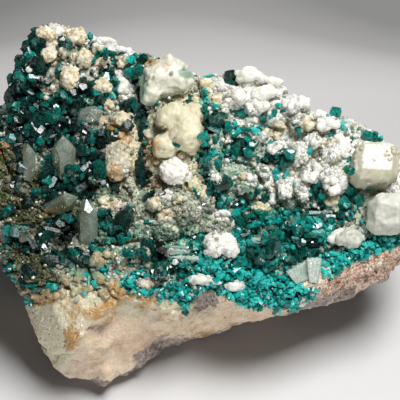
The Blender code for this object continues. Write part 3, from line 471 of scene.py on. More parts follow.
@dataclass
class Tree:
    """The nodes of one material."""

    name: str
    material: bpy.types.Material = field(init=False)

    def __post_init__(self) -> None:
        """Create the material with an empty tree."""
        self.material = bpy.data.materials.new(self.name)
        self.material.use_nodes = True
        self.material.node_tree.nodes.clear()

    def add(self, kind: str, settings: dict | None = None,
            inputs: dict | None = None) -> bpy.types.Node:
        """Add one node.

        Args:
            kind: The node's type.
            settings: Properties of the node, set first. Stops set a colour ramp.
            inputs: Values or links of its sockets, by name or number.

        Returns:
            The node.
        """
        node = self.material.node_tree.nodes.new(kind)
        for key, value in (settings or {}).items():
            if key == "stops":
                self.set_stops(node, value)
            else:
                setattr(node, key, value)
        for key, value in (inputs or {}).items():
            if isinstance(value, Value):
                value = value.socket
            if isinstance(value, bpy.types.NodeSocket):
                self.material.node_tree.links.new(value, node.inputs[key])
            else:
                node.inputs[key].default_value = value
        return node

    @staticmethod
    def set_stops(node: bpy.types.Node, stops: Sequence[tuple[float, Colour]]) -> None:
        """Give a colour ramp its stops.

        Args:
            node: The ramp.
            stops: Places from zero to one, with a colour each.
        """
        elements = node.color_ramp.elements
        while len(elements) < len(stops):
            elements.new(0.5)
        for element, (place, colour) in zip(elements, stops):
            element.position = place
            element.color = (*colour, 1)

    def place(self) -> bpy.types.NodeSocket:
        """The place on the piece, in metres."""
        return self.add("ShaderNodeTexCoord").outputs["Object"]

    def attribute(self, name: str) -> Value:
        """A number that the mesh carries."""
        return Value(self, self.add("ShaderNodeAttribute", {"attribute_name": name}).outputs["Fac"])

    def cloud(self, size: float, detail: float = 3.0, rough: float = 0.55,
              twist: float = 0.0) -> Value:
        """Soft random patches of a size in millimetres, as a value around a half."""
        inputs = {"Vector": self.place(), "Scale": 1 / (size * MM), "Detail": detail,
                  "Roughness": rough, "Distortion": twist}
        return Value(self, self.add("ShaderNodeTexNoise", None, inputs).outputs[0])

    def pattern(self, size: float) -> bpy.types.Node:
        """A pattern of cells of a size in millimetres."""
        inputs = {"Vector": self.place(), "Scale": 1 / (size * MM)}
        return self.add("ShaderNodeTexVoronoi", None, inputs)

    def cells(self, size: float) -> Value:
        """The distance from the middle of a cell, for cells of a size in millimetres."""
        return Value(self, self.pattern(size).outputs["Distance"])

    def cell_tone(self, size: float) -> Value:
        """A random value for each cell, for cells of a size in millimetres."""
        inputs = {0: self.pattern(size).outputs["Color"]}
        return Value(self, self.add("ShaderNodeSeparateColor", None, inputs).outputs[0])

    def ramp(self, value: Value, stops: Sequence[tuple[float, Colour]]) -> bpy.types.NodeSocket:
        """The colour that a value has on a ramp."""
        return self.add("ShaderNodeValToRGB", {"stops": stops}, {0: value}).outputs[0]

    def mix(self, share: Value | float, first: bpy.types.NodeSocket | Colour,
            second: bpy.types.NodeSocket | Colour) -> bpy.types.NodeSocket:
        """Mix two colours.

        Args:
            share: How much of the second colour there is.
            first: A colour or its socket.
            second: A colour or its socket.

        Returns:
            The mixed colour.
        """
        inputs = {0: share, 6: first, 7: second}
        for number in (6, 7):
            if isinstance(inputs[number], tuple):
                inputs[number] = (*inputs[number], 1)
        return self.add("ShaderNodeMix", {"data_type": "RGBA"}, inputs).outputs[2]

    def cast(self, colour: bpy.types.NodeSocket, name: str, share: Value | float,
             other: bpy.types.NodeSocket | Colour) -> bpy.types.NodeSocket:
        """Mix a share of another colour in where an attribute says so."""
        return self.mix(self.attribute(name) * share, colour, other)

    def bump(self, height: Value, depth: float, strength: float = 1.0) -> bpy.types.NodeSocket:
        """A surface raised by a height of up to a depth in millimetres."""
        inputs = {"Height": height, "Distance": depth * MM, "Strength": strength}
        return self.add("ShaderNodeBump", None, inputs).outputs[0]

    def surface(self, **inputs: object) -> bpy.types.Material:
        """Finish the material with a Principled shader.

        Args:
            inputs: Values and links of its sockets, with underscores for spaces.

        Returns:
            The material.
        """
        sockets = {key.replace("_", " "): value for key, value in inputs.items()}
        shader = self.add("ShaderNodeBsdfPrincipled", None, sockets)
        self.add("ShaderNodeOutputMaterial", None, {"Surface": shader.outputs[0]})
        return self.material


def rock_colour(tree: Tree) -> bpy.types.NodeSocket:
    """The colour of the broken rock, which also shows where a crust is bare.

    Args:
        tree: The material's nodes.

    Returns:
        The colour.
    """
    broad = tree.cloud(11.0, 5.0, 0.6, 0.6)
    middle = tree.cloud(2.6, 5.0, 0.65)
    sand = tree.cloud(0.45, 4.0, 0.7)
    colour = tree.ramp(broad + (middle - 0.5) * 0.5, [
        (0.32, linear(202, 174, 150)), (0.45, linear(226, 206, 174)), (0.54, linear(236, 222, 196)),
        (0.68, linear(218, 192, 172))])
    colour = tree.mix(middle.step(0.5, 0.75) * 0.6, colour, linear(240, 232, 214))
    colour = tree.mix(sand.step(0.4, 0.64) * 0.5, colour, linear(186, 160, 126))
    colour = tree.cast(colour, "blush", middle.step(0.36, 0.66) * 0.5, linear(198, 156, 138))
    speckled = tree.ramp(tree.cloud(0.9, 4.0, 0.7), [
        (0.36, linear(84, 72, 70)), (0.5, linear(138, 126, 120)), (0.64, linear(180, 168, 160))])
    greyed = (tree.attribute("grey") + (middle - 0.5)).step(0.2, 0.56)
    colour = tree.mix(greyed * 0.9, colour, speckled)
    mossy = tree.cloud(3.2, 4.0).step(0.25, 0.6)
    colour = tree.cast(colour, "moss", mossy * 0.7, linear(198, 204, 176))
    stained = tree.cloud(3.0, 5.0, 0.7).step(0.3, 0.66)
    colour = tree.cast(colour, "stain", stained * 0.9, linear(184, 136, 68))
    fine = tree.cloud(0.6, 3.0, 0.6)
    rusty = tree.ramp(fine + (middle - 0.5) * 0.5, [
        (0.34, linear(120, 84, 76)), (0.44, linear(186, 140, 120)), (0.54, linear(226, 196, 172)),
        (0.62, linear(242, 232, 220)), (0.72, linear(206, 150, 112))])
    colour = tree.mix((tree.attribute("rust") * 1.4).step(0.1, 0.7) * 0.9, colour, rusty)
    specks = tree.cloud(0.7, 2.0, 0.5).step(0.58, 0.64)
    return tree.mix(specks * (tree.attribute("grey") * 0.8 + 0.1), colour, linear(58, 46, 44))


@dataclass(frozen=True)
class Finish:
    """A finish with its name, and the record's slot that it stands for."""

    name: str
    slot: str

    def material(self) -> bpy.types.Material:
        """Build the material."""
        raise NotImplementedError


@dataclass(frozen=True)
class DioptaseFinish(Finish):
    """Green crystal, from almost black to turquoise as the tint rises."""

    deep: Colour = linear(4, 26, 24)
    dim: Colour = linear(4, 66, 58)
    middle: Colour = linear(6, 122, 108)
    bright: Colour = linear(8, 186, 176)
    pale: Colour = linear(70, 226, 216)
    clearness: float = 0.45
    refraction: float = 1.66

    def material(self) -> bpy.types.Material:
        """Build the crystal material.

        Returns:
            The material.
        """
        tree = Tree(self.name)
        tint = tree.attribute("tint")
        depth = tree.cloud(0.8, 3.0)
        tone = tint + (depth.step(0.32, 0.68) - 0.5) * 0.2
        colour = tree.ramp(tone, [
            (0.0, self.deep), (0.18, self.dim), (0.4, self.middle), (0.7, self.bright),
            (1.0, self.pale)])
        # Painted shade: hollows and crevices darkened almost to black where the shade attribute
        # says so
        colour = tree.cast(colour, "shade", 0.8, linear(12, 20, 16))
        rough = tree.cloud(0.8, 2.0).step(0.35, 0.75) * 0.25 + 0.18
        return tree.surface(
            Base_Color=colour, Roughness=rough, IOR=self.refraction,
            Transmission_Weight=self.clearness, Normal=tree.bump(tree.cloud(0.5, 3.0), 0.05, 0.6))


@dataclass(frozen=True)
class QuartzFinish(Finish):
    """Clear to cloudy crystal, mostly quartz, with stains, casts and painted shade where the mesh
    says so.
    """

    base: Colour
    shade: Colour
    stain: Colour = linear(188, 136, 68)
    clearness: float = 0.5
    smoothness: float = 0.14
    patch: float = 2.5
    milk: float = 0.15
    ripple: float = 0.5
    ripple_depth: float = 0.03
    refraction: float = 1.545
    glow_reach: float = 2.0 * MM

    def material(self) -> bpy.types.Material:
        """Build the quartz material.

        Returns:
            The material.
        """
        tree = Tree(self.name)
        cloud = tree.cloud(self.patch, 4.0)
        colour = tree.mix(cloud.step(0.35, 0.65), self.shade, self.base)
        lighter = (tree.attribute("tint") - 0.5) * 0.5 + 0.25
        colour = tree.mix(lighter, colour, linear(236, 238, 226))
        mottled = tree.cloud(1.4, 3.0).step(0.35, 0.65)
        olive = tree.mix(mottled, linear(56, 66, 38), linear(126, 126, 84))
        grown = tree.ramp(tree.cell_tone(0.9), [
            (0.2, linear(190, 124, 98)), (0.4, linear(230, 190, 152)),
            (0.62, linear(240, 230, 216)), (0.95, linear(212, 156, 106))])
        # The shade attribute darkens hollows and crevices with painted shade
        for name, share, other in (
                ("olive", 0.8, olive), ("tinge", cloud.step(0.2, 0.5) * 0.7, linear(104, 154, 132)),
                ("rust", 0.85, grown), ("stain", 0.6, self.stain),
                ("shade", 0.8, linear(24, 26, 18))):
            colour = tree.cast(colour, name, share, other)
        # Frost and painted light: faces that point up are whitened in patches, partly frost and
        # partly painted light from above
        frost_and_top_light = tree.attribute("frost_and_top_light") * tree.cloud(1.1, 3.0).step(0.3, 0.5)
        colour = tree.mix(frost_and_top_light, colour, linear(242, 241, 234))
        rough = tree.cloud(0.6, 3.0).step(0.3, 0.8) * 0.3 + frost_and_top_light * 0.3 + self.smoothness
        ripples = tree.bump(tree.cloud(self.ripple, 3.0), self.ripple_depth, 0.6)
        return tree.surface(
            Base_Color=colour, Roughness=rough, IOR=self.refraction,
            Transmission_Weight=self.clearness, Subsurface_Weight=self.milk,
            Subsurface_Radius=(1, 1, 0.9), Subsurface_Scale=self.glow_reach, Normal=ripples)


@dataclass(frozen=True)
class CalciteFinish(Finish):
    """White or cream calcite, dull and finely grained, with darker patches and painted shade in its
    folds.
    """

    base: Colour
    patch_and_fold_shade: Colour
    light: Colour
    cast: Colour = linear(176, 182, 166)
    soft: float = 0.7
    roughness: float = 0.62
    refraction: float = 1.5
    glow_reach: float = 2.5 * MM

    def material(self) -> bpy.types.Material:
        """Build the calcite material.

        Returns:
            The material.
        """
        tree = Tree(self.name)
        patches = tree.cloud(1.5, 5.0, 0.65)
        grain = tree.cells(0.5)
        colour = tree.mix(patches.step(0.36, 0.58), self.patch_and_fold_shade, self.base)
        colour = tree.mix(tree.cell_tone(1.6).step(0.45, 0.85) * 0.7, colour, self.light)
        colour = tree.mix(tree.cloud(5.0, 3.0).step(0.52, 0.7) * 0.55, colour, self.cast)
        # Painted shade between the grains
        colour = tree.mix(grain.step(0.35, 0.9) * 0.25, colour, self.patch_and_fold_shade)
        stained = tree.cloud(1.2, 3.0).step(0.3, 0.6)
        colour = tree.cast(colour, "stain", stained * 0.85, linear(186, 126, 58))
        height = grain * -0.6 + tree.cloud(0.3, 3.0) + tree.cloud(1.0, 3.0)
        return tree.surface(
            Base_Color=colour, Roughness=self.roughness, IOR=self.refraction,
            Subsurface_Weight=self.soft, Subsurface_Radius=(1.0, 0.95, 0.85),
            Subsurface_Scale=self.glow_reach, Normal=tree.bump(height, 0.12, 0.8))


@dataclass(frozen=True)
class RockFinish(Finish):
    """Broken pale rock: tan and pinkish, greenish near the crust, grey and speckled underneath."""

    refraction: float = 1.5

    def material(self) -> bpy.types.Material:
        """Build the rock material.

        Returns:
            The material.
        """
        tree = Tree(self.name)
        middle = tree.cloud(2.0, 5.0, 0.65)
        fine = tree.cloud(0.7, 3.0, 0.6)
        height = middle * 0.8 + fine * 0.5 + tree.cells(0.9) * -0.3
        return tree.surface(
            Base_Color=rock_colour(tree), Roughness=fine.step(0.3, 0.8) * 0.3 + 0.5,
            IOR=self.refraction, Normal=tree.bump(height, 0.6, 0.9))


DARK_DIOPTASE = DioptaseFinish("dark_dioptase_crystal", "dark_dioptase")
BRIGHT_DIOPTASE = DioptaseFinish("turquoise_dioptase_crystal", "turquoise_dioptase", clearness=0.3)
GREY_QUARTZ = QuartzFinish(
    "grey_quartz", "grey_quartz", linear(200, 204, 186), linear(146, 156, 136), clearness=0.4)
CLEAR_QUARTZ = QuartzFinish(
    "clear_quartz", "pale_quartz", linear(170, 186, 168), linear(112, 136, 116), clearness=0.6,
    smoothness=0.08, patch=2.0, ripple=1.8, ripple_depth=0.08)
KNOB_QUARTZ = QuartzFinish(
    "cloudy_quartz", "pale_quartz", linear(234, 232, 214), linear(214, 216, 194), clearness=0.12,
    smoothness=0.34, patch=3.0, milk=0.7, ripple=1.0, ripple_depth=0.14)
YELLOW_QUARTZ = QuartzFinish(
    "yellow_quartz", "yellow_quartz", linear(216, 209, 174), linear(198, 186, 142), clearness=0.05,
    smoothness=0.42, patch=3.0, milk=0.5, ripple=0.7, ripple_depth=0.16)
STAINED_QUARTZ = QuartzFinish(
    "stained_quartz", "stained_quartz", linear(200, 188, 152), linear(162, 150, 112), clearness=0.2,
    smoothness=0.3, patch=3.0, milk=0.3, ripple=0.9, ripple_depth=0.1)
# A calcite's second colour serves for its darker patches and the painted shade in its folds
WHITE_CALCITE = CalciteFinish(
    "white_calcite", "white_calcite", linear(238, 237, 229), linear(206, 203, 188),
    linear(246, 245, 240), linear(212, 216, 202))
CREAM_CALCITE = CalciteFinish(
    "cream_calcite", "cream_calcite", linear(224, 214, 184), linear(182, 162, 122),
    linear(238, 233, 218))
BLOCK_CALCITE = QuartzFinish(
    "blocky_calcite", "white_calcite", linear(206, 201, 170), linear(180, 176, 144), clearness=0.14,
    smoothness=0.3, patch=2.4, milk=0.4, ripple=0.8, ripple_depth=0.1)
SMOOTH_CALCITE = QuartzFinish(
    "smooth_calcite", "white_calcite", linear(198, 199, 186), linear(178, 180, 166), clearness=0.12,
    smoothness=0.34, patch=3.0, milk=0.5, ripple=1.2, ripple_depth=0.08)
BLADE_CALCITE = QuartzFinish(
    "blade_calcite", "white_calcite", linear(208, 218, 208), linear(164, 202, 186), clearness=0.3,
    smoothness=0.2, patch=2.0, milk=0.3, ripple=0.6, ripple_depth=0.03)
ROCK = RockFinish("tan_rock", "tan_rock")

FINISHED: dict[str, bpy.types.Material] = {}


def dress(piece: bpy.types.Object, finish: Finish, nodes: Sequence[str] = ()) -> bpy.types.Object:
    """Give a piece its material and its body, and hide the solids that it stands for.

    Args:
        piece: The piece.
        finish: One of the finishes.
        nodes: The solids that it replaces.

    Returns:
        The piece.
    """
    if finish.name not in FINISHED:
        FINISHED[finish.name] = finish.material()
    piece.data.materials.clear()
    piece.data.materials.append(FINISHED[finish.name])
    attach(piece, BODY)
    if nodes:
        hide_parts(*nodes)
    LOG.info("%s: %d faces", piece.name, len(piece.data.polygons))
    return piece


def link(name: str, data: bpy.types.ID) -> bpy.types.Object:
    """Put a mesh, a light or a camera into the scene.

    Args:
        name: The name of its object.
        data: The mesh, light or camera.

    Returns:
        The object.
    """
    made = bpy.data.objects.new(name, data)
    bpy.context.scene.collection.objects.link(made)
    return made


def piece_of(name: str, bm: bmesh.types.BMesh) -> bpy.types.Object:
    """Put a shape into the scene as a piece.

    Args:
        name: The name of the piece.
        bm: The shape, which is freed.

    Returns:
        The piece.
    """
    mesh = bpy.data.meshes.new(name)
    bm.to_mesh(mesh)
    bm.free()
    return link(name, mesh)


def named(start: str) -> tuple[str, ...]:
    """The solids whose names start in one way."""
    return tuple(sorted(name for name in frame["nodes"] if name.startswith(start)))


def solid_copy(nodes: Sequence[str]) -> bmesh.types.BMesh:
    """The merged copy of one or more solids.

    Args:
        nodes: Names of solids.

    Returns:
        A bmesh that holds them all.
    """
    bm = bmesh.new()
    for name in nodes:
        bm.from_mesh(frame["nodes"][name].data)
    bmesh.ops.remove_doubles(bm, verts=bm.verts, dist=MERGE)
    return bm


def applied(piece: bpy.types.Object) -> bpy.types.Object:
    """Make a piece's modifiers part of its mesh.

    Args:
        piece: The piece.

    Returns:
        The same piece.
    """
    depsgraph = bpy.context.evaluated_depsgraph_get()
    made = bpy.data.meshes.new_from_object(piece.evaluated_get(depsgraph))
    piece.modifiers.clear()
    piece.data = made
    return piece


def even_skin(name: str, bm: bmesh.types.BMesh, voxel: float, smooth: int = 0) -> bpy.types.Object:
    """Turn closed shapes into one piece with an even skin.

    Args:
        name: The name of the piece.
        bm: The shapes, which are freed.
        voxel: The size of the skin's squares, in millimetres.
        smooth: How often the skin is smoothed.

    Returns:
        The piece.
    """
    piece = piece_of(name, bm)
    remesh = piece.modifiers.new("skin", "REMESH")
    remesh.mode = "VOXEL"
    remesh.voxel_size = voxel * MM
    if smooth:
        softened = piece.modifiers.new("soften", "SMOOTH")
        softened.factor = 0.5
        softened.iterations = smooth
    return applied(piece)


def place_corners(piece: bpy.types.Object, places: np.ndarray) -> None:
    """Move the corners of a piece to new places."""
    piece.data.vertices.foreach_set("co", places.ravel())
    piece.data.update()


def shade_smooth(piece: bpy.types.Object) -> None:
    """Shade all faces of a piece smooth."""
    faces = piece.data.polygons
    faces.foreach_set("use_smooth", np.ones(len(faces), dtype=bool))


def shift(piece: bpy.types.Object, amount: Callable[[Vector, Vector], float]) -> None:
    """Move each corner of a piece along its normal.

    Args:
        piece: The piece.
        amount: Gives the move in millimetres from a place in millimetres and its normal.
    """
    verts = piece.data.vertices
    moved = np.empty((len(verts), 3))
    for index, vert in enumerate(verts):
        moved[index] = vert.co + vert.normal * (amount(vert.co / MM, vert.normal) * MM)
    place_corners(piece, moved)


def corners_of(piece: bpy.types.Object) -> tuple[np.ndarray, np.ndarray]:
    """The corners of a piece.

    Args:
        piece: The piece.

    Returns:
        Their places and their normals, one to a row.
    """
    verts = piece.data.vertices
    places, normals = np.empty(len(verts) * 3), np.empty(len(verts) * 3)
    verts.foreach_get("co", places)
    verts.foreach_get("normal", normals)
    return places.reshape(-1, 3), normals.reshape(-1, 3)


def write_attribute(piece: bpy.types.Object, name: str, values: np.ndarray) -> None:
    """Store a number for each corner of a piece."""
    made = piece.data.attributes.new(name, "FLOAT", "POINT")
    made.data.foreach_set("value", np.clip(values, 0, 1).astype(np.float32))


# Waves that make the edges of spots wander: lengths in millimetres and depths in pixels
EDGE_WAVES = ((7.3, 3.2), (3.9, 2.2), (2.1, 1.4), (1.1, 0.9))


def wandering(places: np.ndarray) -> np.ndarray:
    """How far spots are pushed aside at each place, so that their edges wander.

    Args:
        places: The places, one to a row.

    Returns:
        The push in pixels across and down, one to a row.
    """
    push = np.zeros((len(places), 2))
    for number, (length, depth) in enumerate(EDGE_WAVES):
        for column in range(2):
            aim = np.cos(np.array([1.0, 2.7, 4.9]) * (number + 1) + column * 2.1)
            push[:, column] += np.sin(places / MM @ aim * (FULL_TURN / length) + number) * depth
    return push


# How steeply a spot grows from its edge, and as the surface turns to the camera
EDGE_RISE = 1.6
FACING_RISE = 4


def seen_spots(piece: bpy.types.Object, spots: Sequence[Spot], edge: float = 2.0) -> np.ndarray:
    """How far each corner lies in a spot, for corners that face the camera.

    Args:
        piece: The piece.
        spots: The spots, in pixels.
        edge: How many pixels each spot is widened.

    Returns:
        A share from zero to one for each corner.
    """
    places, normals = corners_of(piece)
    toward = np.array(VIEW.eye) - places
    toward /= np.linalg.norm(toward, axis=1)[:, None]
    facing = np.clip((normals * toward).sum(1) * FACING_RISE, 0, 1)
    pixels = VIEW.pixels_of(places) + wandering(places)
    return np.clip(spot_weight(pixels, spots, edge) * EDGE_RISE, 0, 1) * facing


# The size in millimetres of the notches in the edge of a step
STEP_PATCH = 3.0


def step_out(piece: bpy.types.Object, spots: Sequence[Spot], height: float) -> None:
    """Raise or sink spots of a piece with a sharp edge, where it faces the camera.

    Args:
        piece: The piece.
        spots: The spots, in pixels.
        height: How far they are raised, in millimetres.
    """
    places, normals = corners_of(piece)
    ragged = np.array([noise.noise(Vector(place) / MM / STEP_PATCH) for place in places])
    seen = seen_spots(piece, spots, 0.0)
    share = np.clip(seen * 3 + (ragged * 1.4 - 0.4) * (seen > 0), 0, 1)
    place_corners(piece, places + normals * (share * height * MM)[:, None])


def stain(piece: bpy.types.Object) -> None:
    """Store where a piece has iron stains, colour casts and painted shade in hollows.

    Args:
        piece: The piece.
    """
    write_attribute(piece, "stain", seen_spots(piece, STAIN_SPOTS, 5.0))
    pixels = VIEW.pixels_of(corners_of(piece)[0])
    # The shade attribute marks hollows and crevices for painted shade
    for name, spots in (("olive", OLIVE_SPOTS), ("tinge", TINGE_SPOTS), ("rust", RUST_SPOTS),
                        ("shade", SHADE_SPOTS)):
        write_attribute(piece, name, spot_weight(pixels, spots) * 1.8)


@dataclass
class Form:
    """A small closed shape as arrays, to be copied many times."""

    corners: np.ndarray
    faces: np.ndarray

    @classmethod
    def of(cls, bm: bmesh.types.BMesh) -> "Form":
        """Read a shape.

        Args:
            bm: The shape, which is freed.

        Returns:
            Its arrays.
        """
        bmesh.ops.triangulate(bm, faces=bm.faces)
        bmesh.ops.recalc_face_normals(bm, faces=bm.faces)
        bm.verts.index_update()
        corners = np.array([vert.co[:] for vert in bm.verts])
        faces = np.array([[vert.index for vert in face.verts] for face in bm.faces])
        bm.free()
        return cls(corners, faces)


def slice_off(bm: bmesh.types.BMesh, point: Vector, normal: Vector) -> None:
    """Cut away what lies beyond a plane, and close the cut.

    Args:
        bm: The shape.
        point: A point of the plane.
        normal: The direction in which everything is cut away.
    """
    result = bmesh.ops.bisect_plane(
        bm, geom=bm.verts[:] + bm.edges[:] + bm.faces[:], dist=MERGE, plane_co=point,
        plane_no=normal, clear_outer=True)
    edges = [item for item in result["geom_cut"] if isinstance(item, bmesh.types.BMEdge)]
    if edges:
        bmesh.ops.holes_fill(bm, edges=edges, sides=0)


def prism_form(length: float, slope: float, faces: int, uneven: float = 0.0) -> Form:
    """A six-sided crystal of radius one along +Z, centred on its foot.

    Args:
        length: Its length in radii.
        slope: How far the tip's faces lean from the end, in degrees.
        faces: How many faces the tip has.
        uneven: How much the tip's faces differ in height.

    Returns:
        The crystal.
    """
    bm = bmesh.new()
    bmesh.ops.create_circle(bm, cap_ends=True, segments=6, radius=1.0)
    made = bmesh.ops.extrude_face_region(bm, geom=bm.faces[:])
    tops = [item for item in made["geom"] if isinstance(item, bmesh.types.BMVert)]
    bmesh.ops.translate(bm, verts=tops, vec=(0, 0, length))
    bmesh.ops.recalc_face_normals(bm, faces=bm.faces)
    turn = 0.0 if faces == 3 else math.pi / 6
    lean = math.radians(slope)
    flat = math.sin(lean)
    for step in range(faces):
        bearing = turn + FULL_TURN * step / faces
        normal = Vector((flat * math.cos(bearing), flat * math.sin(bearing), math.cos(lean)))
        drop = uneven * (step % 2) + uneven * 0.5 * (step % 3)
        slice_off(bm, Vector((0, 0, length - drop)), normal)
    return Form.of(bm)


def grain_form(seed: int, lumpy: float = 0.22) -> Form:
    """A rounded grain of radius one.

    Args:
        seed: Changes its lumps.
        lumpy: How far the lumps stand out.

    Returns:
        The grain.
    """
    bm = bmesh.new()
    bmesh.ops.create_icosphere(bm, subdivisions=1, radius=1.0)
    for vert in bm.verts:
        vert.co *= 1 + lumpy * noise.noise(vert.co * 1.7 + Vector((seed * 3.1, 0, 0)))
    return Form.of(bm)


@dataclass
class Swarm:
    """Many copies of small forms, joined into one piece."""

    name: str
    corners: list[np.ndarray] = field(default_factory=list)
    faces: list[np.ndarray] = field(default_factory=list)
    tints: list[np.ndarray] = field(default_factory=list)
    count: int = 0
    # How much lighter each copy is towards its tip, as painted light
    painted_tip_light: float = 0.0

    def add(self, form: Form, places: np.ndarray, axes: np.ndarray, spins: np.ndarray,
            sizes: np.ndarray, tints: np.ndarray) -> None:
        """Add copies of a form.

        Args:
            form: The form, of radius one along +Z.
            places: Where the foot of each copy is.
            axes: The direction of each copy's length.
            spins: The turn of each copy about its length.
            sizes: The scale of each copy along its own three axes.
            tints: The tint of each copy.
        """
        if not len(places):
            return
        along = axes / np.linalg.norm(axes, axis=1)[:, None]
        upright = np.abs(along[:, 2:3]) < 0.9
        helper = np.where(upright, np.array([[0.0, 0, 1]]), np.array([[1.0, 0, 0]]))
        first = np.cross(helper, along)
        first /= np.linalg.norm(first, axis=1)[:, None]
        second = np.cross(along, first)
        side = first * np.cos(spins)[:, None] + second * np.sin(spins)[:, None]
        other = np.cross(along, side)
        scaled = form.corners[None, :, :] * sizes[:, None, :]
        turned = scaled[:, :, 0:1] * side[:, None, :]
        turned = turned + scaled[:, :, 1:2] * other[:, None, :]
        turned = turned + scaled[:, :, 2:3] * along[:, None, :]
        placed = turned + places[:, None, :]
        copies, per_copy = len(places), len(form.corners)
        offsets = self.count + np.arange(copies) * per_copy
        self.corners.append(placed.reshape(-1, 3))
        self.faces.append((form.faces[None, :, :] + offsets[:, None, None]).reshape(-1, 3))
        rise = form.corners[:, 2] / max(form.corners[:, 2].max(), 1e-6)
        self.tints.append((tints[:, None] + self.painted_tip_light * rise[None, :]).ravel())
        self.count += copies * per_copy

    def build(self, smooth: bool = False) -> bpy.types.Object:
        """Join all copies into one piece.

        Args:
            smooth: Whether its faces are shaded smooth.

        Returns:
            The piece.
        """
        corners = np.concatenate(self.corners)
        faces = np.concatenate(self.faces)
        mesh = bpy.data.meshes.new(self.name)
        mesh.vertices.add(len(corners))
        mesh.vertices.foreach_set("co", corners.ravel().astype(np.float32))
        mesh.loops.add(faces.size)
        mesh.loops.foreach_set("vertex_index", faces.ravel().astype(np.int32))
        mesh.polygons.add(len(faces))
        mesh.polygons.foreach_set("loop_start", np.arange(0, faces.size, 3, dtype=np.int32))
        mesh.update(calc_edges=True)
        mesh.validate()
        mesh.polygons.foreach_set("use_smooth", np.full(len(faces), smooth))
        piece = link(self.name, mesh)
        write_attribute(piece, "tint", np.concatenate(self.tints))
        stain(piece)
        return piece


@dataclass
class Ground:
    """The rock and its crusts, as what crystals stand on. Its sizes are in millimetres."""

    tries: float = 1.6
    lift: float = 0.02
    clearance: float = 1.0
    everything: BVHTree = field(init=False)

    def __post_init__(self) -> None:
        """Build the search tree of the solids."""
        bm = solid_copy(["matrix", *CRUST_NODES])
        self.everything = BVHTree.FromBMesh(bm)
        bm.free()

    def seen_at(self, x: float, y: float) -> Vector | None:
        """The place that shows at a pixel, or None where the ground doesn't."""
        return self.everything.ray_cast(VIEW.eye, VIEW.ray(x, y))[0]

    def samples(self, node: str, spacing: float,
                chance: np.random.Generator) -> tuple[np.ndarray, np.ndarray]:
        """Places spread over the open side of a crust.

        Args:
            node: The crust.
            spacing: The usual distance between places, in millimetres.
            chance: The source of random numbers.

        Returns:
            The places and the normals there, one to a row.
        """
        mesh = frame["nodes"][node].data
        mesh.calc_loop_triangles()
        corners = np.array([vert.co[:] for vert in mesh.vertices])
        faces = np.array([tri.vertices[:] for tri in mesh.loop_triangles])
        a, b, c = corners[faces[:, 0]], corners[faces[:, 1]], corners[faces[:, 2]]
        cross = np.cross(b - a, c - a)
        area = np.linalg.norm(cross, axis=1) / 2
        count = int(area.sum() / (spacing * MM) ** 2 * self.tries)
        chosen = chance.choice(len(faces), size=count, p=area / area.sum())
        share = chance.random((count, 2))
        flip = share.sum(1) > 1
        share[flip] = 1 - share[flip]
        places = a[chosen] + (b - a)[chosen] * share[:, :1] + (c - a)[chosen] * share[:, 1:]
        normals = cross[chosen] / (2 * area[chosen][:, None] + 1e-20)
        return self.open_places(places, normals, spacing)

    def open_places(self, places: np.ndarray, normals: np.ndarray,
                    spacing: float) -> tuple[np.ndarray, np.ndarray]:
        """Keep one place to a cell, and only those with nothing close in front.

        Args:
            places: Places, one to a row.
            normals: The normals there.
            spacing: The size of a cell, in millimetres.

        Returns:
            The places that stay, and their normals.
        """
        kept = []
        cells = set()
        for index, (place, normal) in enumerate(zip(places, normals)):
            cell = tuple(np.floor(place / (spacing * MM)).astype(int))
            if cell in cells:
                continue
            start = Vector(place) + Vector(normal) * self.lift * MM
            if self.everything.ray_cast(start, Vector(normal), self.clearance * MM)[0] is not None:
                continue
            cells.add(cell)
            kept.append(index)
        return places[kept], normals[kept]


GROUND = Ground()


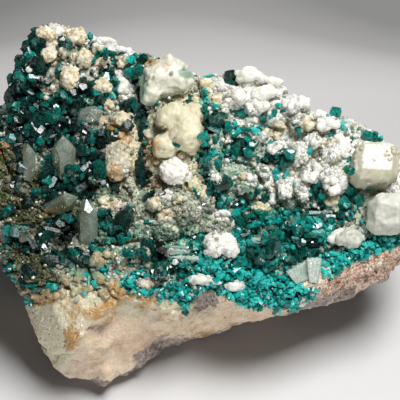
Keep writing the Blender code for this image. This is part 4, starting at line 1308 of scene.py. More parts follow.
@dataclass(frozen=True)
class CrustFinish(Finish):
    """The grown ground between crystals: quartz, green, white, cream or bare rock by place."""

    refraction: float = 1.54

    @staticmethod
    def patches(tree: Tree, name: str, edges: Value) -> Value:
        """Where a mineral shows by its attribute, with edges that are ragged by another value."""
        return (tree.attribute(name) + (edges - 0.5) * 0.9).step(0.32, 0.6)

    def material(self) -> bpy.types.Material:
        """Build the crust material.

        Returns:
            The material.
        """
        tree = Tree(self.name)
        broad = tree.cloud(4.0, 4.0)
        fine = tree.cloud(0.7, 3.0)
        grain = tree.cells(0.55)
        ragged = tree.cloud(1.6, 4.0, 0.65)
        colour = tree.mix(broad.step(0.35, 0.65), linear(124, 134, 114), linear(192, 197, 175))
        colour = tree.mix(tree.cell_tone(0.7).step(0.65, 0.95) * 0.5, colour, linear(218, 222, 204))
        tinged = ragged.step(0.3, 0.6) * 0.7
        colour = tree.cast(colour, "tinge", tinged, linear(96, 148, 126))
        spread = ragged.step(0.2, 0.5)
        olive = tree.mix(fine.step(0.4, 0.6), linear(38, 48, 26), linear(104, 106, 64))
        colour = tree.cast(colour, "olive", spread, olive)
        butter = tree.mix(fine.step(0.35, 0.65), linear(190, 180, 140), linear(218, 211, 180))
        colour = tree.cast(colour, "butter", spread, butter)
        tone = tree.attribute("facet") * 0.7 + fine * 0.4
        # Painted shade between the grains of white and cream
        painted_grain_shade = grain.step(0.3, 0.9)
        minerals = {
            "dark": tree.ramp(tone, [
                (0.3, linear(4, 18, 17)), (0.65, linear(6, 40, 37)), (0.85, linear(10, 66, 58)),
                (1.0, linear(40, 104, 92))]),
            "green": tree.ramp(tone, [
                (0.25, linear(0, 50, 44)), (0.5, linear(0, 92, 78)), (0.75, linear(24, 132, 114)),
                (0.95, linear(130, 190, 172))]),
            "bright": tree.ramp(tone, [
                (0.25, linear(0, 84, 82)), (0.5, linear(0, 146, 140)), (0.75, linear(24, 186, 178)),
                (0.95, linear(140, 224, 216))]),
            "white": tree.mix(painted_grain_shade, linear(236, 235, 229), linear(198, 198, 188)),
            "cream": tree.mix(painted_grain_shade, linear(226, 212, 178), linear(180, 160, 120)),
            "rock": rock_colour(tree),
        }
        for name, shown in minerals.items():
            colour = tree.mix(self.patches(tree, name, ragged), colour, shown)
        stained = tree.cloud(3.0, 5.0, 0.7).step(0.3, 0.66)
        colour = tree.cast(colour, "stain", stained * 0.85, linear(180, 134, 66))
        # Painted shade: hollows and crevices darkened almost to black where the shade attribute
        # says so
        colour = tree.cast(colour, "shade", 0.85, linear(16, 20, 14))
        height = grain * -0.7 + fine * 0.8
        return tree.surface(
            Base_Color=colour, Roughness=fine.step(0.3, 0.8) * 0.4 + 0.22, IOR=self.refraction,
            Normal=tree.bump(height, 0.25, 0.8))


def layered(place: Vector, size: float, rough: float, layers: int) -> float:
    """Random hills around zero, with finer layers that add to their roughness."""
    return noise.fractal(place / size, rough, 2.1, layers)


@dataclass
class Rock:
    """The lump of rock, broken in front, behind and below, that carries everything."""

    voxel: float = 0.88
    coarse: float = 9.0
    coarse_depth: float = 1.1
    chunk: float = 4.5
    chunk_depth: float = 1.1
    pit: float = 1.6
    step: float = 0.7
    foot: float = 1.5

    def relief(self, place: Vector, normal: Vector) -> float:
        """How far the rock stands out.

        Args:
            place: A place, in millimetres.
            normal: The normal there, which is not used.

        Returns:
            The height in millimetres, which falls to nothing at the flat underside.
        """
        broken = layered(place, self.coarse, 0.8, 4) * self.coarse_depth
        cracked = noise.voronoi(place / self.chunk)[0]
        chips = min(0.5, cracked[1] - cracked[0]) * self.chunk_depth
        pits = min(0.0, noise.noise(place / self.pit) + 0.25) * 0.5
        return (broken + chips + pits - 0.35) * min(1.0, max(0.0, place.z / self.foot))

    def build(self) -> bpy.types.Object:
        """Build and dress the rock.

        Returns:
            The rock.
        """
        piece = even_skin("rock", solid_copy(["matrix"]), self.voxel)
        shift(piece, self.relief)
        step_out(piece, LEDGE_SPOTS, self.step)
        step_out(piece, BROKEN_SPOTS, -self.step)
        shade_smooth(piece)
        below = np.clip(-corners_of(piece)[1][:, 2] * 2.2, 0, 1)
        for name, spots, edge in (
                ("blush", BLUSH_SPOTS, 2.0), ("moss", MOSS_SPOTS, 6.0), ("grey", GREY_SPOTS, 2.0),
                ("rust", RUST_SPOTS, 2.0), ("stain", STAIN_SPOTS, 7.0)):
            shares = seen_spots(piece, spots, edge)
            if name == "grey":
                shares = np.maximum(shares, below * 0.7)
            write_attribute(piece, name, shares)
        return dress(piece, ROCK, ["matrix"])


KIND_SPOTS: dict[Kind, list[Spot]] = {
    Kind.DARK: DARK_SPOTS, Kind.GREEN: GREEN_SPOTS, Kind.TURQUOISE: TURQUOISE_SPOTS,
    Kind.WHITE: WHITE_SPOTS, Kind.CREAM: CREAM_SPOTS, Kind.NONE: BARE_SPOTS,
}

# The share of each kind on a solid where no zone or spot says otherwise
USUAL: dict[str, dict[Kind, float]] = {
    "dioptase_druse_left": mix_of(DARK=0.6, GREEN=0.06, SUGAR=0.16, CREAM=0.14, CLEAR=0.04),
    "quartz_druse_left": mix_of(SUGAR=0.76, CLEAR=0.14, GREEN=0.04, DARK=0.06),
    "quartz_crust_centre": mix_of(SUGAR=0.74, CREAM=0.1, GREEN=0.08, CLEAR=0.08),
    "white_crust_right": mix_of(WHITE=0.62, CREAM=0.14, SUGAR=0.18, GREEN=0.06),
    "dioptase_druse_right": mix_of(GREEN=0.34, DARK=0.22, WHITE=0.14, SUGAR=0.2, TURQUOISE=0.1),
    "dioptase_druse_front": mix_of(TURQUOISE=0.6, GREEN=0.16, WHITE=0.12, SUGAR=0.12),
    "stained_quartz_front": mix_of(NONE=0.82, SUGAR=0.14, CLEAR=0.04),
    "yellow_quartz_mass": mix_of(NONE=0.92, SUGAR=0.04, CREAM=0.02, GREEN=0.02),
    "quartz_knob": mix_of(NONE=0.93, SUGAR=0.06, TURQUOISE=0.01),
    "matrix": mix_of(NONE=1.0),
    "calcite_block_upper": mix_of(NONE=0.93, WHITE=0.06, CREAM=0.01),
    "stained_quartz_lump": mix_of(NONE=0.6, CREAM=0.3, SUGAR=0.1),
    "white_heart_lump": mix_of(NONE=0.6, WHITE=0.3, SUGAR=0.1),
}


# What turns a patch's place into numbers that look random
HASH_STEPS = np.array([12.9898, 78.233, 37.719])
HASH_SCALE = 43758.5453


def patch_numbers(places: np.ndarray, size: float, seed: float) -> np.ndarray:
    """A random number for each place, the same for places in one patch.

    Args:
        places: Places, one to a row.
        size: The size of a patch, in millimetres.
        seed: Changes the numbers.

    Returns:
        Numbers from zero to one.
    """
    scaled = places / (size * MM)
    home = np.floor(scaled)
    nearest = np.full(len(places), 9.0)
    chosen = np.zeros(len(places))
    for step in np.ndindex(3, 3, 3):
        corner = home + np.array(step) - 1
        jitter = []
        for salt in range(4):
            mixed = corner @ HASH_STEPS + seed * 5.17 + salt * 11.3
            jitter.append(np.abs(np.sin(mixed) * HASH_SCALE) % 1.0)
        gap = np.linalg.norm(scaled - corner - np.stack(jitter[:3], axis=1), axis=1)
        closer = gap < nearest
        nearest[closer] = gap[closer]
        chosen[closer] = jitter[3][closer]
    return chosen


def below_line(pixels: np.ndarray, line: Sequence[Point]) -> np.ndarray:
    """How many pixels each pixel lies below a line of the photograph."""
    return pixels[:, 1] - np.interp(pixels[:, 0], *zip(*line))


def under_edge(pixels: np.ndarray) -> np.ndarray:
    """How far under the line of the bare front each pixel lies, from zero to one."""
    return np.clip(below_line(pixels, BARE_EDGE) / 4 + 0.5, 0, 1)


def over_outline(points: np.ndarray) -> np.ndarray:
    """Whether each point would show above the specimen's upper outline."""
    return below_line(VIEW.pixels_of(points), TOP_OUTLINE) < -0.5


# Where green crystals begin to get lighter, over how many pixels they do, and by how much tint
LIGHTER_FROM = 180
LIGHTER_OVER = 40
LIGHTER_BY = 0.15


def brighter_side(places: np.ndarray) -> np.ndarray:
    """How much the tint of green crystals rises towards the right of the specimen."""
    rise = (VIEW.pixels_of(places)[:, 0] - LIGHTER_FROM) / LIGHTER_OVER
    return np.clip(rise, 0, 1) * LIGHTER_BY


def give(shares: np.ndarray, weight: np.ndarray, mix: dict[Kind, float]) -> None:
    """Let some kinds take a part of all shares.

    Args:
        shares: One row for each place and one column for each kind, which are changed.
        weight: The part that is taken at each place.
        mix: How it is divided.
    """
    shares *= (1 - weight)[:, None]
    for kind, part in mix.items():
        shares[:, KINDS.index(kind)] += weight * part


# How much a solid's usual shares and a zone's count
USUAL_WEIGHT = 0.45
ZONE_WEIGHT = 1.6
# How steeply a spot's kind takes over towards the middle of the spot, and the most that it takes
SPOT_RISE = 2.5
SPOT_MOST = 0.9
RUSTY_MOST = 0.4


def mixture(node: str, places: np.ndarray) -> np.ndarray:
    """The share of each kind at places of a solid.

    Args:
        node: The solid.
        places: The places, one to a row.

    Returns:
        One row for each place and one column for each kind, which add up to one.
    """
    pixels = VIEW.pixels_of(places)
    usual = np.array([USUAL[node].get(kind, 0.0) for kind in KINDS])
    shares = np.tile(usual, (len(places), 1)) * USUAL_WEIGHT
    if node in CRUST_NODES:
        for spot, mix in ZONES:
            weight = spot_weight(pixels, [spot])
            for kind, share in mix.items():
                shares[:, KINDS.index(kind)] += weight * share * ZONE_WEIGHT
    shares /= shares.sum(axis=1)[:, None]
    for kind, spots in KIND_SPOTS.items():
        if kind == Kind.NONE and node not in CRUST_NODES or node == "matrix":
            continue
        weight = np.clip(spot_weight(pixels, spots, 1.0) * SPOT_RISE, 0, SPOT_MOST)
        give(shares, weight, {kind: 1.0})
    if node in EDGED_NODES:
        give(shares, under_edge(pixels), {Kind.NONE: 1.0})
    if node in (*EDGED_NODES, "matrix"):
        rusty = np.clip(spot_weight(pixels, RUST_SPOTS), 0, RUSTY_MOST) * under_edge(pixels)
        give(shares, rusty, {Kind.SUGAR: 0.8, Kind.CREAM: 0.2})
    return shares


def dome(place: Vector, size: float) -> float:
    """How high a round grain is at a place: one in its middle, falling to its edge."""
    return 1 - noise.voronoi(place / size)[0][0] * 1.6


def intergrown(place: Vector, size: float, tilt: float) -> tuple[float, float]:
    """The height and tone of crystals grown into each other.

    Args:
        place: The place, in millimetres.
        size: The usual size of a crystal, in millimetres.
        tilt: How steeply their faces lean.

    Returns:
        The height in millimetres, and a number from zero to one that is each crystal's own.
    """
    scaled = place / size
    middle = noise.voronoi(scaled)[1][0]
    lean = noise.cell_vector(middle * 31.7) - Vector((0.5, 0.5, 0.5))
    own = noise.cell(middle * 17.3)
    return (scaled - middle).dot(lean.normalized()) * tilt * size + (own - 0.5) * 0.4 * size, own


MINERALS: dict[str, Kind] = {
    "dark": Kind.DARK, "green": Kind.GREEN, "bright": Kind.TURQUOISE, "white": Kind.WHITE,
    "cream": Kind.CREAM, "rock": Kind.NONE,
}


@dataclass
class CrustBeds:
    """The crusts themselves, between and under the crystals. Its sizes are in millimetres."""

    voxel: float = 0.455
    lump: float = 2.8
    lump_depth: float = 0.9
    lump_sink: float = 0.2
    grain: float = 0.85
    grain_depth: float = 0.22
    large: float = 2.7
    small: float = 1.2
    tilt: float = 0.62
    step: float = 0.6

    def weights(self, piece: bpy.types.Object, node: str) -> dict[str, np.ndarray]:
        """The share of each mineral and cast at each corner of a crust.

        Args:
            piece: The crust.
            node: The solid that it stands for.

        Returns:
            Shares by name. Bare rock shows only on the solids at the front edge.
        """
        shares = mixture(node, corners_of(piece)[0])
        made = {name: shares[:, KINDS.index(kind)] for name, kind in MINERALS.items()}
        made["rock"] = made["rock"] * (node in EDGED_NODES)
        for name, spots, edge in (("moss", MOSS_SPOTS, 6.0), ("blush", BLUSH_SPOTS, 2.0),
                                  ("grey", GREY_SPOTS, 2.0), ("butter", BUTTER_SPOTS, 2.0)):
            made[name] = seen_spots(piece, spots, edge)
        return made

    def build_one(self, node: str) -> bpy.types.Object:
        """Build and dress one crust.

        Args:
            node: The solid that it stands for.

        Returns:
            The crust.
        """
        piece = even_skin(f"{node}_ground", solid_copy([node]), self.voxel)
        weights = self.weights(piece, node)
        knobbly = np.clip(weights["white"] + weights["cream"], 0, 1)
        crystalline = np.clip((weights["dark"] + weights["green"]) * 1.6, 0, 1)
        calmed = np.maximum(weights["rock"] * 0.75, np.minimum(1.0, weights["butter"]) * 0.7)
        places, normals = corners_of(piece)
        moved = np.empty_like(places)
        facet = np.empty(len(places))
        for index, (place, normal) in enumerate(zip(places, normals)):
            spot = Vector(place) / MM
            large, large_tone = intergrown(spot, self.large, self.tilt)
            small, small_tone = intergrown(spot, self.small, self.tilt)
            share, calm = crystalline[index], calmed[index]
            faceted = share * large + (1 - share) * small
            facet[index] = large_tone if share > 0.5 else small_tone
            rise = knobbly[index] * (dome(spot, self.lump) * self.lump_depth - self.lump_sink)
            rise += (1 - knobbly[index]) * (1 - calm) * faceted
            rise += dome(spot, self.grain) * self.grain_depth * (1 - calm)
            moved[index] = place + normal * rise * MM
        place_corners(piece, moved)
        if node in EDGED_NODES:
            step_out(piece, LEDGE_SPOTS, self.step)
        write_attribute(piece, "facet", facet)
        for name, share in weights.items():
            write_attribute(piece, name, share)
        stain(piece)
        rows = frame["record"]["subparts"]
        slot = next(row["material_slot"] for row in rows if row["node"] == node)
        return dress(piece, CrustFinish(f"{slot}_crust", slot), [node])

    def build(self) -> None:
        """Build all crusts."""
        for node in CRUST_NODES:
            self.build_one(node)


Share = float | np.ndarray


def between(limits: tuple[float, float], share: Share) -> Share:
    """The value that lies a share of the way from one limit to the other."""
    return limits[0] + (limits[1] - limits[0]) * share


@dataclass(frozen=True)
class Habit:
    """How the crystals of one kind grow. Lengths are in millimetres and leans in degrees."""

    lengths: tuple[float, float]
    widths: tuple[float, float]
    leans: tuple[float, float]
    tints: tuple[float, float]
    share: float
    sink: float = 0.25
    skew: float = 1.0


HABITS: dict[Kind, Habit] = {
    Kind.DARK: Habit(
        (1.6, 5.6), (0.24, 0.4), (15, 80), (0.0, 0.42), share=0.26, sink=0.38, skew=2.2),
    Kind.GREEN: Habit(
        (1.0, 3.4), (0.22, 0.38), (15, 80), (0.12, 0.7), share=0.4, sink=0.34, skew=1.3),
    Kind.TURQUOISE: Habit((0.5, 2.1), (0.24, 0.4), (5, 75), (0.3, 1.0), share=0.74),
    Kind.SUGAR: Habit((0.5, 1.9), (0.26, 0.42), (5, 65), (0.0, 1.0), share=0.62),
    Kind.CLEAR: Habit((1.4, 4.0), (0.22, 0.36), (15, 75), (0.2, 1.0), share=0.34, sink=0.35),
    Kind.WHITE: Habit((0.5, 2.0), (0.4, 0.6), (0, 60), (0.0, 1.0), share=0.6),
    Kind.CREAM: Habit((0.5, 2.0), (0.4, 0.6), (0, 60), (0.0, 1.0), share=0.7),
}


@dataclass
class Seeded:
    """A sub-assembly that draws random numbers, the same in each run."""

    seed: int
    chance: np.random.Generator = field(init=False)

    def __post_init__(self) -> None:
        """Start the random numbers."""
        self.chance = np.random.default_rng(self.seed)


# How far the faces of a crystal's tip lean from its end, in degrees
DIOPTASE_SLOPE = 50.7
QUARTZ_SLOPE = 51.8
DIOPTASE_FORMS = [
    prism_form(length, DIOPTASE_SLOPE, 3, uneven)
    for length, uneven in ((4.4, 0.0), (3.2, 0.25), (5.6, 0.4))]
QUARTZ_FORMS = [
    prism_form(length, QUARTZ_SLOPE, 6, uneven)
    for length, uneven in ((3.6, 0.0), (2.6, 0.2), (4.6, 0.4))]
GRAIN_FORMS = [grain_form(number) for number in range(3)]

DIOPTASES = (Kind.DARK, Kind.GREEN, Kind.TURQUOISE)
CALCITES = (Kind.WHITE, Kind.CREAM)
# Painted light: how much lighter the tint of a dioptase crystal is at its tip than at its foot, as
# if light shone through it
PAINTED_TIP_LIGHT = 0.12


@dataclass
class Growth(Seeded):
    """The thousands of small crystals and grains on the crusts. Its sizes are in millimetres.

    More shortness makes long crystals rarer.
    """

    seed: int = 11
    spacing: float = 0.78
    patch: float = 2.3
    apart: float = 0.35
    lowest: float = 4.0
    shortness: float = 1.8

    def kinds_at(self, node: str, places: np.ndarray) -> np.ndarray:
        """Choose a kind for each place of a crust.

        Args:
            node: The crust.
            places: The places, one to a row.

        Returns:
            The number of the chosen kind in the list of kinds.
        """
        shares = mixture(node, places)
        together = patch_numbers(places, self.patch, 1.0)
        alone = self.chance.random(len(places))
        draw = np.where(self.chance.random(len(places)) < self.apart, alone, together)
        limits = shares.cumsum(axis=1)
        return np.minimum((draw[:, None] > limits).sum(axis=1), len(KINDS) - 1)

    @staticmethod
    def forms_of(kind: Kind) -> list[Form]:
        """The forms that a kind is made of."""
        others = GRAIN_FORMS if kind in CALCITES else QUARTZ_FORMS
        return DIOPTASE_FORMS if kind in DIOPTASES else others

    def grow(self, swarm: Swarm, kind: Kind, places: np.ndarray, normals: np.ndarray) -> None:
        """Grow one kind on its places.

        Args:
            swarm: Where the crystals are added.
            kind: The kind.
            places: The places, one to a row.
            normals: The normals there.
        """
        habit = HABITS[kind]
        kept = self.chance.random(len(places)) < habit.share
        places, normals = places[kept], normals[kept]
        count = len(places)
        if not count:
            return
        draw = self.chance.random((count, 6))
        length = between(habit.lengths, draw[:, 0] ** self.shortness)
        lean = np.radians(between(habit.leans, draw[:, 1]))
        tangent = self.chance.normal(size=(count, 3))
        tangent -= normals * (tangent * normals).sum(1)[:, None]
        tangent /= np.linalg.norm(tangent, axis=1)[:, None]
        axis = normals * np.cos(lean)[:, None] + tangent * np.sin(lean)[:, None]
        width = length * between(habit.widths, draw[:, 2])
        tint = between(habit.tints, draw[:, 3] ** habit.skew)
        if kind in (Kind.DARK, Kind.GREEN):
            tint += brighter_side(places)
        forms = self.forms_of(kind)
        which = self.chance.integers(0, len(forms), count)
        inside = ~over_outline(places + axis * (length * (1 - habit.sink) * MM)[:, None])
        for index, form in enumerate(forms):
            mine = (which == index) & inside
            height = form.corners[:, 2].max()
            tall = length[mine] / height if height > 1.5 else length[mine] * 0.6
            flat = width[mine] * (0.75 + 0.35 * draw[mine, 4])
            sizes = np.stack([width[mine], flat, tall], axis=1) * MM
            feet = places[mine] - axis[mine] * (length[mine] * habit.sink * MM)[:, None]
            swarm.add(form, feet, axis[mine], draw[mine, 5] * SPIN, sizes, tint[mine])

    def build(self) -> None:
        """Grow and dress all kinds."""
        finishes = {
            Kind.DARK: DARK_DIOPTASE, Kind.GREEN: DARK_DIOPTASE, Kind.TURQUOISE: BRIGHT_DIOPTASE,
            Kind.SUGAR: GREY_QUARTZ, Kind.CLEAR: CLEAR_QUARTZ, Kind.WHITE: WHITE_CALCITE,
            Kind.CREAM: CREAM_CALCITE,
        }
        swarms = {
            kind: Swarm(kind.value.replace(" ", "_") + "_growth",
                        painted_tip_light=PAINTED_TIP_LIGHT if kind in DIOPTASES else 0.0)
            for kind in finishes}
        for node in USUAL:
            places, normals = GROUND.samples(node, self.spacing, self.chance)
            if node == "matrix":
                seen = (normals * (np.array(VIEW.eye) - places)).sum(1) > 0
                seen &= places[:, 2] > self.lowest * MM
                places, normals = places[seen], normals[seen]
            chosen = self.kinds_at(node, places)
            for kind, swarm in swarms.items():
                mine = chosen == KINDS.index(kind)
                self.grow(swarm, kind, places[mine], normals[mine])
        for kind, swarm in swarms.items():
            dress(swarm.build(kind in CALCITES), finishes[kind])


@dataclass
class MainCrystals(Seeded):
    """The larger crystals, one or more to each spot of dioptase, and the thin pale bars.

    Its half sizes are in pixels. A crystal that has its spot to itself is longer and thicker.
    """

    seed: int = 5
    crowding: float = 4.4
    spread: float = 0.7
    shortest: float = 2.2
    thinnest: float = 1.3
    thickness: float = 0.46

    def add_spot(self, swarm: Swarm, spot: Spot, tints: tuple[float, float],
                 longest: float) -> None:
        """Lay crystals over one spot.

        Args:
            swarm: Where the crystals are added.
            spot: The spot, in pixels.
            tints: The range of tints.
            longest: The largest half length, in pixels.
        """
        x, y, wide, high = spot
        count = max(1, round(wide * high / (self.crowding * longest)))
        alone = count == 1
        for _ in range(count):
            draw = self.chance.random(6)
            bearing = draw[0] * FULL_TURN
            reach = (0.0 if alone else self.spread) * math.sqrt(draw[1])
            half = max(min(longest, max(wide, high) * (1.0 if alone else 0.6)), self.shortest)
            radius = max(min(wide, high) * (0.75 if alone else 0.5), self.thinnest)
            radius = min(half * self.thickness, radius)
            turn = 0.0 if wide > high else math.pi / 2
            turn += (draw[2] - 0.5) * (0.7 if alone else 2.6)
            aim = on_face(math.cos(turn), math.sin(turn))
            if draw[3] > 0.5:
                aim = -aim
            axis = (aim + OUTWARD * (0.05 + 0.45 * draw[4])).normalized()
            hit = GROUND.seen_at(
                x + wide * reach * math.cos(bearing), y + high * reach * math.sin(bearing))
            if hit is None:
                continue
            length = 2 * half * VIEW.pixel
            foot = hit - axis * length * 0.5 + OUTWARD * radius * VIEW.pixel * 0.05
            form = DIOPTASE_FORMS[int(self.chance.integers(0, len(DIOPTASE_FORMS)))]
            thick = radius * VIEW.pixel
            size = [thick, thick * (0.75 + 0.3 * draw[5]), length / form.corners[:, 2].max()]
            tint = between(tints, self.chance.random()) + brighter_side(np.array([hit]))
            if over_outline(np.array([foot + axis * length]))[0]:
                continue
            swarm.add(form, np.array([foot]), np.array([axis]), np.array([draw[5] * SPIN]),
                      np.array([size]), tint)

    def build(self) -> None:
        """Build and dress the larger crystals."""
        for name, spots, tints, longest, finish in (
                ("dark_dioptase_crystals", DARK_SPOTS, (0.0, 0.16), 11.0, DARK_DIOPTASE),
                ("green_dioptase_crystals", GREEN_SPOTS, (0.2, 0.46), 8.0, DARK_DIOPTASE),
                ("turquoise_dioptase_crystals", TURQUOISE_SPOTS, (0.5, 0.86), 5.0, BRIGHT_DIOPTASE),
                ("pale_bars", BAR_SPOTS, (0.3, 1.0), 16.0, BLADE_CALCITE)):
            swarm = Swarm(name, painted_tip_light=PAINTED_TIP_LIGHT)
            for spot in spots:
                self.add_spot(swarm, spot, tints, longest)
            dress(swarm.build(), finish)


def add_ball(bm: bmesh.types.BMesh, middle: Vector, radius: float, steps: int = 1) -> None:
    """Add a round ball to a shape."""
    place = Matrix.Translation(middle)
    bmesh.ops.create_icosphere(bm, subdivisions=steps, radius=radius, matrix=place)


@dataclass
class Lumps(Seeded):
    """Calcite and quartz in knobbly lumps, from spots and from the standing solids.

    Each knob has from the fewest to the most grains, by how well they cover it.
    """

    seed: int = 21
    voxel: float = 0.242
    grain: float = 0.3
    patch: float = 0.9
    fewest: int = 5
    most: int = 26
    cover: float = 2.4

    def popcorn(self, bm: bmesh.types.BMesh, middle: Vector, radii: Vector, grain: float) -> None:
        """Add a lump of several smaller lumps with round grains all over them.

        Args:
            bm: Where it is added.
            middle: Its middle.
            radii: Its half sizes across, uphill and outward.
            grain: The radius of its grains.
        """
        least = min(radii)
        count = max(4, round(radii.x * radii.y / least ** 2 * 4.0))
        for draw in self.chance.random((count, 5)):
            bearing = draw[0] * FULL_TURN
            reach = 0.72 * math.sqrt(draw[1])
            out = on_face(reach * math.cos(bearing) * radii.x, reach * math.sin(bearing) * radii.y)
            size = least * (0.3 + 0.42 * draw[2])
            rise = radii.z * (0.5 * draw[3] * (1 - reach))
            self.knob(bm, middle + out + OUTWARD * rise, size, grain)

    def knob(self, bm: bmesh.types.BMesh, middle: Vector, size: float, grain: float) -> None:
        """Add a round knob with grains on its upper side.

        Args:
            bm: Where it is added.
            middle: Its middle.
            size: Its radius.
            grain: The radius of its grains.
        """
        add_ball(bm, middle, size, 2)
        count = int(min(self.most, max(self.fewest, self.cover * (size / grain) ** 2)))
        for draw in self.chance.random((count, 4)):
            rise = 1 - 1.4 * draw[0]
            flat = math.sqrt(max(0.0, 1 - rise * rise))
            bearing = draw[1] * FULL_TURN
            aim = on_face(flat * math.cos(bearing), flat * math.sin(bearing)) + OUTWARD * rise
            place = middle + aim * size * (0.78 + 0.22 * draw[2])
            add_ball(bm, place, grain * (0.5 + 0.8 * draw[3]))

    def spot_lump(self, bm: bmesh.types.BMesh, spot: Spot) -> None:
        """Add the lump of one spot.

        Args:
            bm: Where it is added.
            spot: The spot, in pixels.
        """
        x, y, wide, high = spot
        hit = GROUND.seen_at(x, y)
        if hit is None:
            return
        low = min(wide, high) * VIEW.pixel
        radii = Vector((wide * VIEW.pixel, high * VIEW.pixel, low))
        self.popcorn(bm, hit, radii, min(self.grain * MM, low * 0.35))

    def pillow(self, bm: bmesh.types.BMesh, spot: Spot) -> None:
        """Add a large soft lump of one spot, made of a few round ones.

        Args:
            bm: Where it is added.
            spot: The spot, in pixels.
        """
        x, y, wide, high = spot
        hit = GROUND.seen_at(x, y)
        if hit is None:
            return
        radii = Vector((wide, high, min(wide, high))) * VIEW.pixel
        turn = Matrix((ACROSS, UPHILL, OUTWARD)).transposed().to_4x4()
        for step, draw in enumerate(self.chance.random((6, 4))):
            bearing = draw[0] * FULL_TURN
            reach = 0.0 if step == 0 else 0.45 + 0.25 * draw[1]
            size = 0.78 if step == 0 else 0.35 + 0.25 * draw[2]
            out = on_face(reach * math.cos(bearing) * radii.x, reach * math.sin(bearing) * radii.y)
            place = Matrix.Translation(hit + out + OUTWARD * radii.z * (0.15 + 0.2 * draw[3]))
            stretch = Matrix.Diagonal((radii.x * size, radii.y * size, radii.z * size, 1))
            bmesh.ops.create_icosphere(
                bm, subdivisions=3, radius=1.0, matrix=place @ turn @ stretch)

    def coated(self, nodes: Sequence[str], radius: float) -> bmesh.types.BMesh:
        """Solids with round grains all over them.

        Args:
            nodes: The solids.
            radius: The usual radius of a grain, in millimetres.

        Returns:
            The solids and their grains.
        """
        bm = solid_copy(nodes)
        for node in nodes:
            places = GROUND.samples(node, radius * 1.5, self.chance)[0]
            for place, draw in zip(places, self.chance.random(len(places))):
                add_ball(bm, place, radius * (0.55 + 0.75 * draw) * MM)
        return bm

    def finish(self, name: str, bm: bmesh.types.BMesh, dressing: Finish, nodes: Sequence[str] = (),
               smooth: int = 1, rough: float = 0.22) -> None:
        """Skin, roughen and dress lumps.

        Args:
            name: The name of the piece.
            bm: The lumps.
            dressing: Their finish.
            nodes: The solids that they replace.
            smooth: How often their skin is smoothed.
            rough: How far it is roughened, in millimetres.
        """
        piece = even_skin(name, bm, self.voxel, smooth)
        shift(piece, lambda place, normal: rough * layered(place, self.patch, 0.6, 4))
        shade_smooth(piece)
        stain(piece)
        dress(piece, dressing, nodes)

    def build(self) -> None:
        """Build all lumps."""
        snow = bmesh.new()
        for spot in SNOW_SPOTS:
            self.pillow(snow, spot)
        self.finish("snowy_calcite", snow, WHITE_CALCITE, smooth=8, rough=0.1)
        for name, spots, dressing in (
                ("cream_calcite_lumps", CREAM_SPOTS, CREAM_CALCITE),
                ("white_calcite_lumps", WHITE_SPOTS, WHITE_CALCITE),
                ("yellow_quartz_lumps", SPREAD_SPOTS, YELLOW_QUARTZ),
                ("stained_quartz_lumps", SEAM_SPOTS, STAINED_QUARTZ)):
            bm = bmesh.new()
            for spot in spots:
                self.spot_lump(bm, spot)
            self.finish(name, bm, dressing)
        for name, nodes, dressing, radius in (
                ("cream_calcite_stones", named("cream_lump"), CREAM_CALCITE, 0.55),
                ("white_calcite_stones", ("white_calcite_lump",), WHITE_CALCITE, 0.5)):
            self.finish(name, self.coated(nodes, radius), dressing, nodes)


@dataclass
class Mass:
    """A large lump of one mineral that stands for its solids. Its sizes are in millimetres."""

    name: str
    nodes: tuple[str, ...]
    finish: Finish
    voxel: float = 0.4
    smooth: int = 0
    coarse: float = 3.0
    coarse_depth: float = 0.3
    grain: float = 0.9
    grain_depth: float = 0.1
    # How much faces that point up are whitened, partly frost and partly painted light from above
    frost_and_top_light_share: float = 0.0

    def relief(self, place: Vector, normal: Vector) -> float:
        """How far the lump stands out at a place, in millimetres."""
        broad = layered(place, self.coarse, 0.8, 3) * self.coarse_depth
        return broad + dome(place, self.grain) * self.grain_depth

    def tints(self, places: np.ndarray) -> np.ndarray:
        """The tint of each corner."""
        return np.full(len(places), 0.5)

    def build(self) -> bpy.types.Object:
        """Build and dress the lump.

        Returns:
            The lump.
        """
        piece = even_skin(self.name, solid_copy(self.nodes), self.voxel, self.smooth)
        shift(piece, self.relief)
        shade_smooth(piece)
        places, normals = corners_of(piece)
        write_attribute(piece, "tint", self.tints(places))
        # Faces that point up get frost and painted top light
        write_attribute(piece, "frost_and_top_light", (normals[:, 2] - 0.72) * 5 * self.frost_and_top_light_share)
        stain(piece)
        return dress(piece, self.finish, self.nodes)


@dataclass
class Blades(Mass):
    """The fan of thin blades, grooved along its length from where they meet."""

    foot: Point = (311.0, 300.0)
    grooves: float = 58.0
    groove_depth: float = 0.05

    def bearing(self, places: np.ndarray) -> np.ndarray:
        """The direction in which each place shows from where the blades meet."""
        pixels = VIEW.pixels_of(places)
        return np.arctan2(pixels[:, 0] - self.foot[0], self.foot[1] - pixels[:, 1])

    def relief(self, place: Vector, normal: Vector) -> float:
        """How far the blades stand out at a place, in millimetres."""
        turn = float(self.bearing(np.array([place * MM]))[0])
        return super().relief(place, normal) + self.groove_depth * math.sin(turn * self.grooves)

    def tints(self, places: np.ndarray) -> np.ndarray:
        """White along the middle blade, pale green beside it.

        Args:
            places: The places of the corners, one to a row.

        Returns:
            The tint of each corner.
        """
        turn = self.bearing(places)
        middle = np.exp(-((turn - 0.06) / 0.16) ** 2)
        return 0.2 + 0.2 * np.cos(turn * self.grooves * 0.5) + 1.2 * middle


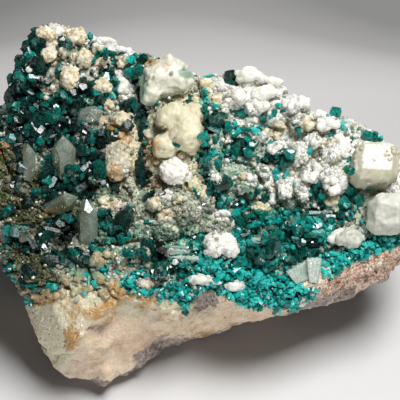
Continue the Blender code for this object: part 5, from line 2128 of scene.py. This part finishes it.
@dataclass
class StandingCrystals:
    """Single crystals that keep the faces of their solids, with edges softened by millimetres."""

    name: str
    nodes: tuple[str, ...]
    finish: Finish
    edge: float = 0.12
    tint: float = 0.5
    flat: float = math.radians(4)
    sharp: float = math.radians(20)

    def build(self) -> bpy.types.Object:
        """Build and dress the crystals.

        Returns:
            The crystals.
        """
        bm = solid_copy(self.nodes)
        bmesh.ops.dissolve_limit(bm, angle_limit=self.flat, verts=bm.verts, edges=bm.edges)
        sharp = [
            edge for edge in bm.edges if edge.is_manifold and edge.calc_face_angle(0) > self.sharp]
        bmesh.ops.bevel(
            bm, geom=sharp, offset=self.edge * MM, segments=1, profile=0.5, material=-1,
            affect="EDGES", clamp_overlap=True)
        bmesh.ops.triangulate(bm, faces=bm.faces)
        piece = piece_of(self.name, bm)
        write_attribute(piece, "tint", np.full(len(piece.data.vertices), self.tint))
        stain(piece)
        return dress(piece, self.finish, self.nodes)


@dataclass
class Studio:
    """A pale floor with painted light falloff, and soft lights. Its sizes are in metres."""

    floor_size: float = 3.0
    reach: float = 0.062
    ambient: float = 0.04
    painted_falloff_tones: tuple[tuple[float, Colour], ...] = (
        (0.0, linear(222, 222, 222)), (0.3, linear(190, 190, 190)), (0.53, linear(168, 168, 168)),
        (0.66, linear(146, 146, 146)), (1.0, linear(124, 124, 124)))

    def floor(self) -> None:
        """Lay the floor, with painted light falloff: darker to the back and towards the far
        corners.
        """
        bm = bmesh.new()
        bmesh.ops.create_grid(bm, x_segments=2, y_segments=2, size=self.floor_size / 2)
        piece = piece_of("floor", bm)
        tree = Tree("floor")
        parts = tree.add("ShaderNodeSeparateXYZ", None, {0: tree.place()})
        across, along = Value(tree, parts.outputs[0]), Value(tree, parts.outputs[1])
        near = along.step(-0.08, 0.06)
        back = along.step(0.062, 0.125)
        aside = (((across + 0.01) * (1 / self.reach)) ** 2).math("MINIMUM", 1.5)
        # Painted falloff: the floor's own colour darkens to the back and the far corners
        painted_falloff = near * 0.3 + back * 0.55 + aside * (back * 0.45 + near * 0.05)
        colour = tree.ramp(painted_falloff, self.painted_falloff_tones)
        piece.data.materials.append(
            tree.surface(Base_Color=colour, Roughness=0.9, Specular_IOR_Level=0.2))

    @staticmethod
    def light(name: str, place: Vector, size: float, power: float, colour: Colour) -> None:
        """Hang a square light that shines on the specimen.

        Args:
            name: Its name.
            place: Where it hangs.
            size: Its side.
            power: Its power in watts.
            colour: Its colour.
        """
        data = bpy.data.lights.new(name, "AREA")
        data.size = size
        data.energy = power
        data.color = colour
        lamp = link(name, data)
        lamp.location = place
        lamp.rotation_euler = (-place).to_track_quat("-Z", "Y").to_euler()

    def build(self) -> None:
        """Set up the floor, the lights and the surroundings."""
        self.floor()
        self.light("key", Vector((0.16, 0.10, 0.59)), 0.27, 4.9, (1.0, 0.99, 0.98))
        self.light("fill", Vector((0.0, -1.3, 0.045)), 0.08, 6.8, (1.0, 0.99, 1.0))
        world = bpy.data.worlds.new("studio")
        world.use_nodes = True
        inputs = world.node_tree.nodes["Background"].inputs
        inputs["Color"].default_value = (1, 1, 1, 1)
        inputs["Strength"].default_value = self.ambient
        bpy.context.scene.world = world
        bpy.context.scene.view_settings.view_transform = "Standard"


BRIGHT_NODES = ("dioptase_crystal_rim", "dioptase_crystal_far_right")
DARK_NODES = tuple(name for name in named("dioptase_crystal_") if name not in BRIGHT_NODES)


def main() -> None:
    """Build the stage and the specimen, piece by piece."""
    logging.basicConfig(level=logging.INFO, format="%(message)s")
    VIEW.make_camera()
    Studio().build()
    Rock().build()
    CrustBeds().build()
    Growth().build()
    MainCrystals().build()
    Lumps().build()
    pieces = (
        Mass("quartz_knob_body", ("quartz_knob",), KNOB_QUARTZ, voxel=0.35, smooth=5,
             coarse_depth=0.6, grain=1.6, grain_depth=0.14),
        Mass("yellow_quartz_body", ("yellow_quartz_mass",), YELLOW_QUARTZ, voxel=0.35, smooth=10,
             coarse=3.2, coarse_depth=0.5, grain=1.0, grain_depth=0.14),
        Mass("white_heart_body", ("white_heart_lump",), WHITE_CALCITE, voxel=0.28, smooth=1,
             coarse=1.8, coarse_depth=0.5, grain=0.8, grain_depth=0.08),
        Mass("white_patch_body", ("white_calcite_patch",), SMOOTH_CALCITE, voxel=0.3, smooth=4,
             coarse=2.6, coarse_depth=0.7, grain=1.0, grain_depth=0.08),
        Mass("stained_quartz_body", ("stained_quartz_lump",), STAINED_QUARTZ, voxel=0.35, smooth=1,
             coarse=2.0, coarse_depth=0.5, grain_depth=0.2),
        Mass("calcite_block_upper_body", ("calcite_block_upper",), BLOCK_CALCITE, voxel=0.35,
             smooth=1, coarse_depth=0.25, grain=1.0, grain_depth=0.06, frost_and_top_light_share=1.0),
        Mass("calcite_block_lower_body", ("calcite_block_lower",), SMOOTH_CALCITE, smooth=4,
             coarse=4.0, coarse_depth=0.5, grain=1.6, grain_depth=0.08, frost_and_top_light_share=0.2),
        Blades("calcite_blades_body", ("calcite_blades",), BLADE_CALCITE, voxel=0.2, smooth=1,
               coarse=2.0, coarse_depth=0.08, grain_depth=0.02),
        StandingCrystals("quartz_crystals", named("quartz_crystal_"), CLEAR_QUARTZ),
        StandingCrystals("dioptase_crystals", DARK_NODES, DARK_DIOPTASE, edge=0.1, tint=0.12),
        StandingCrystals("turquoise_dioptase_pair", BRIGHT_NODES, BRIGHT_DIOPTASE, edge=0.1),
    )
    for piece in pieces:
        piece.build()


if __name__ == "__main__":
    main()
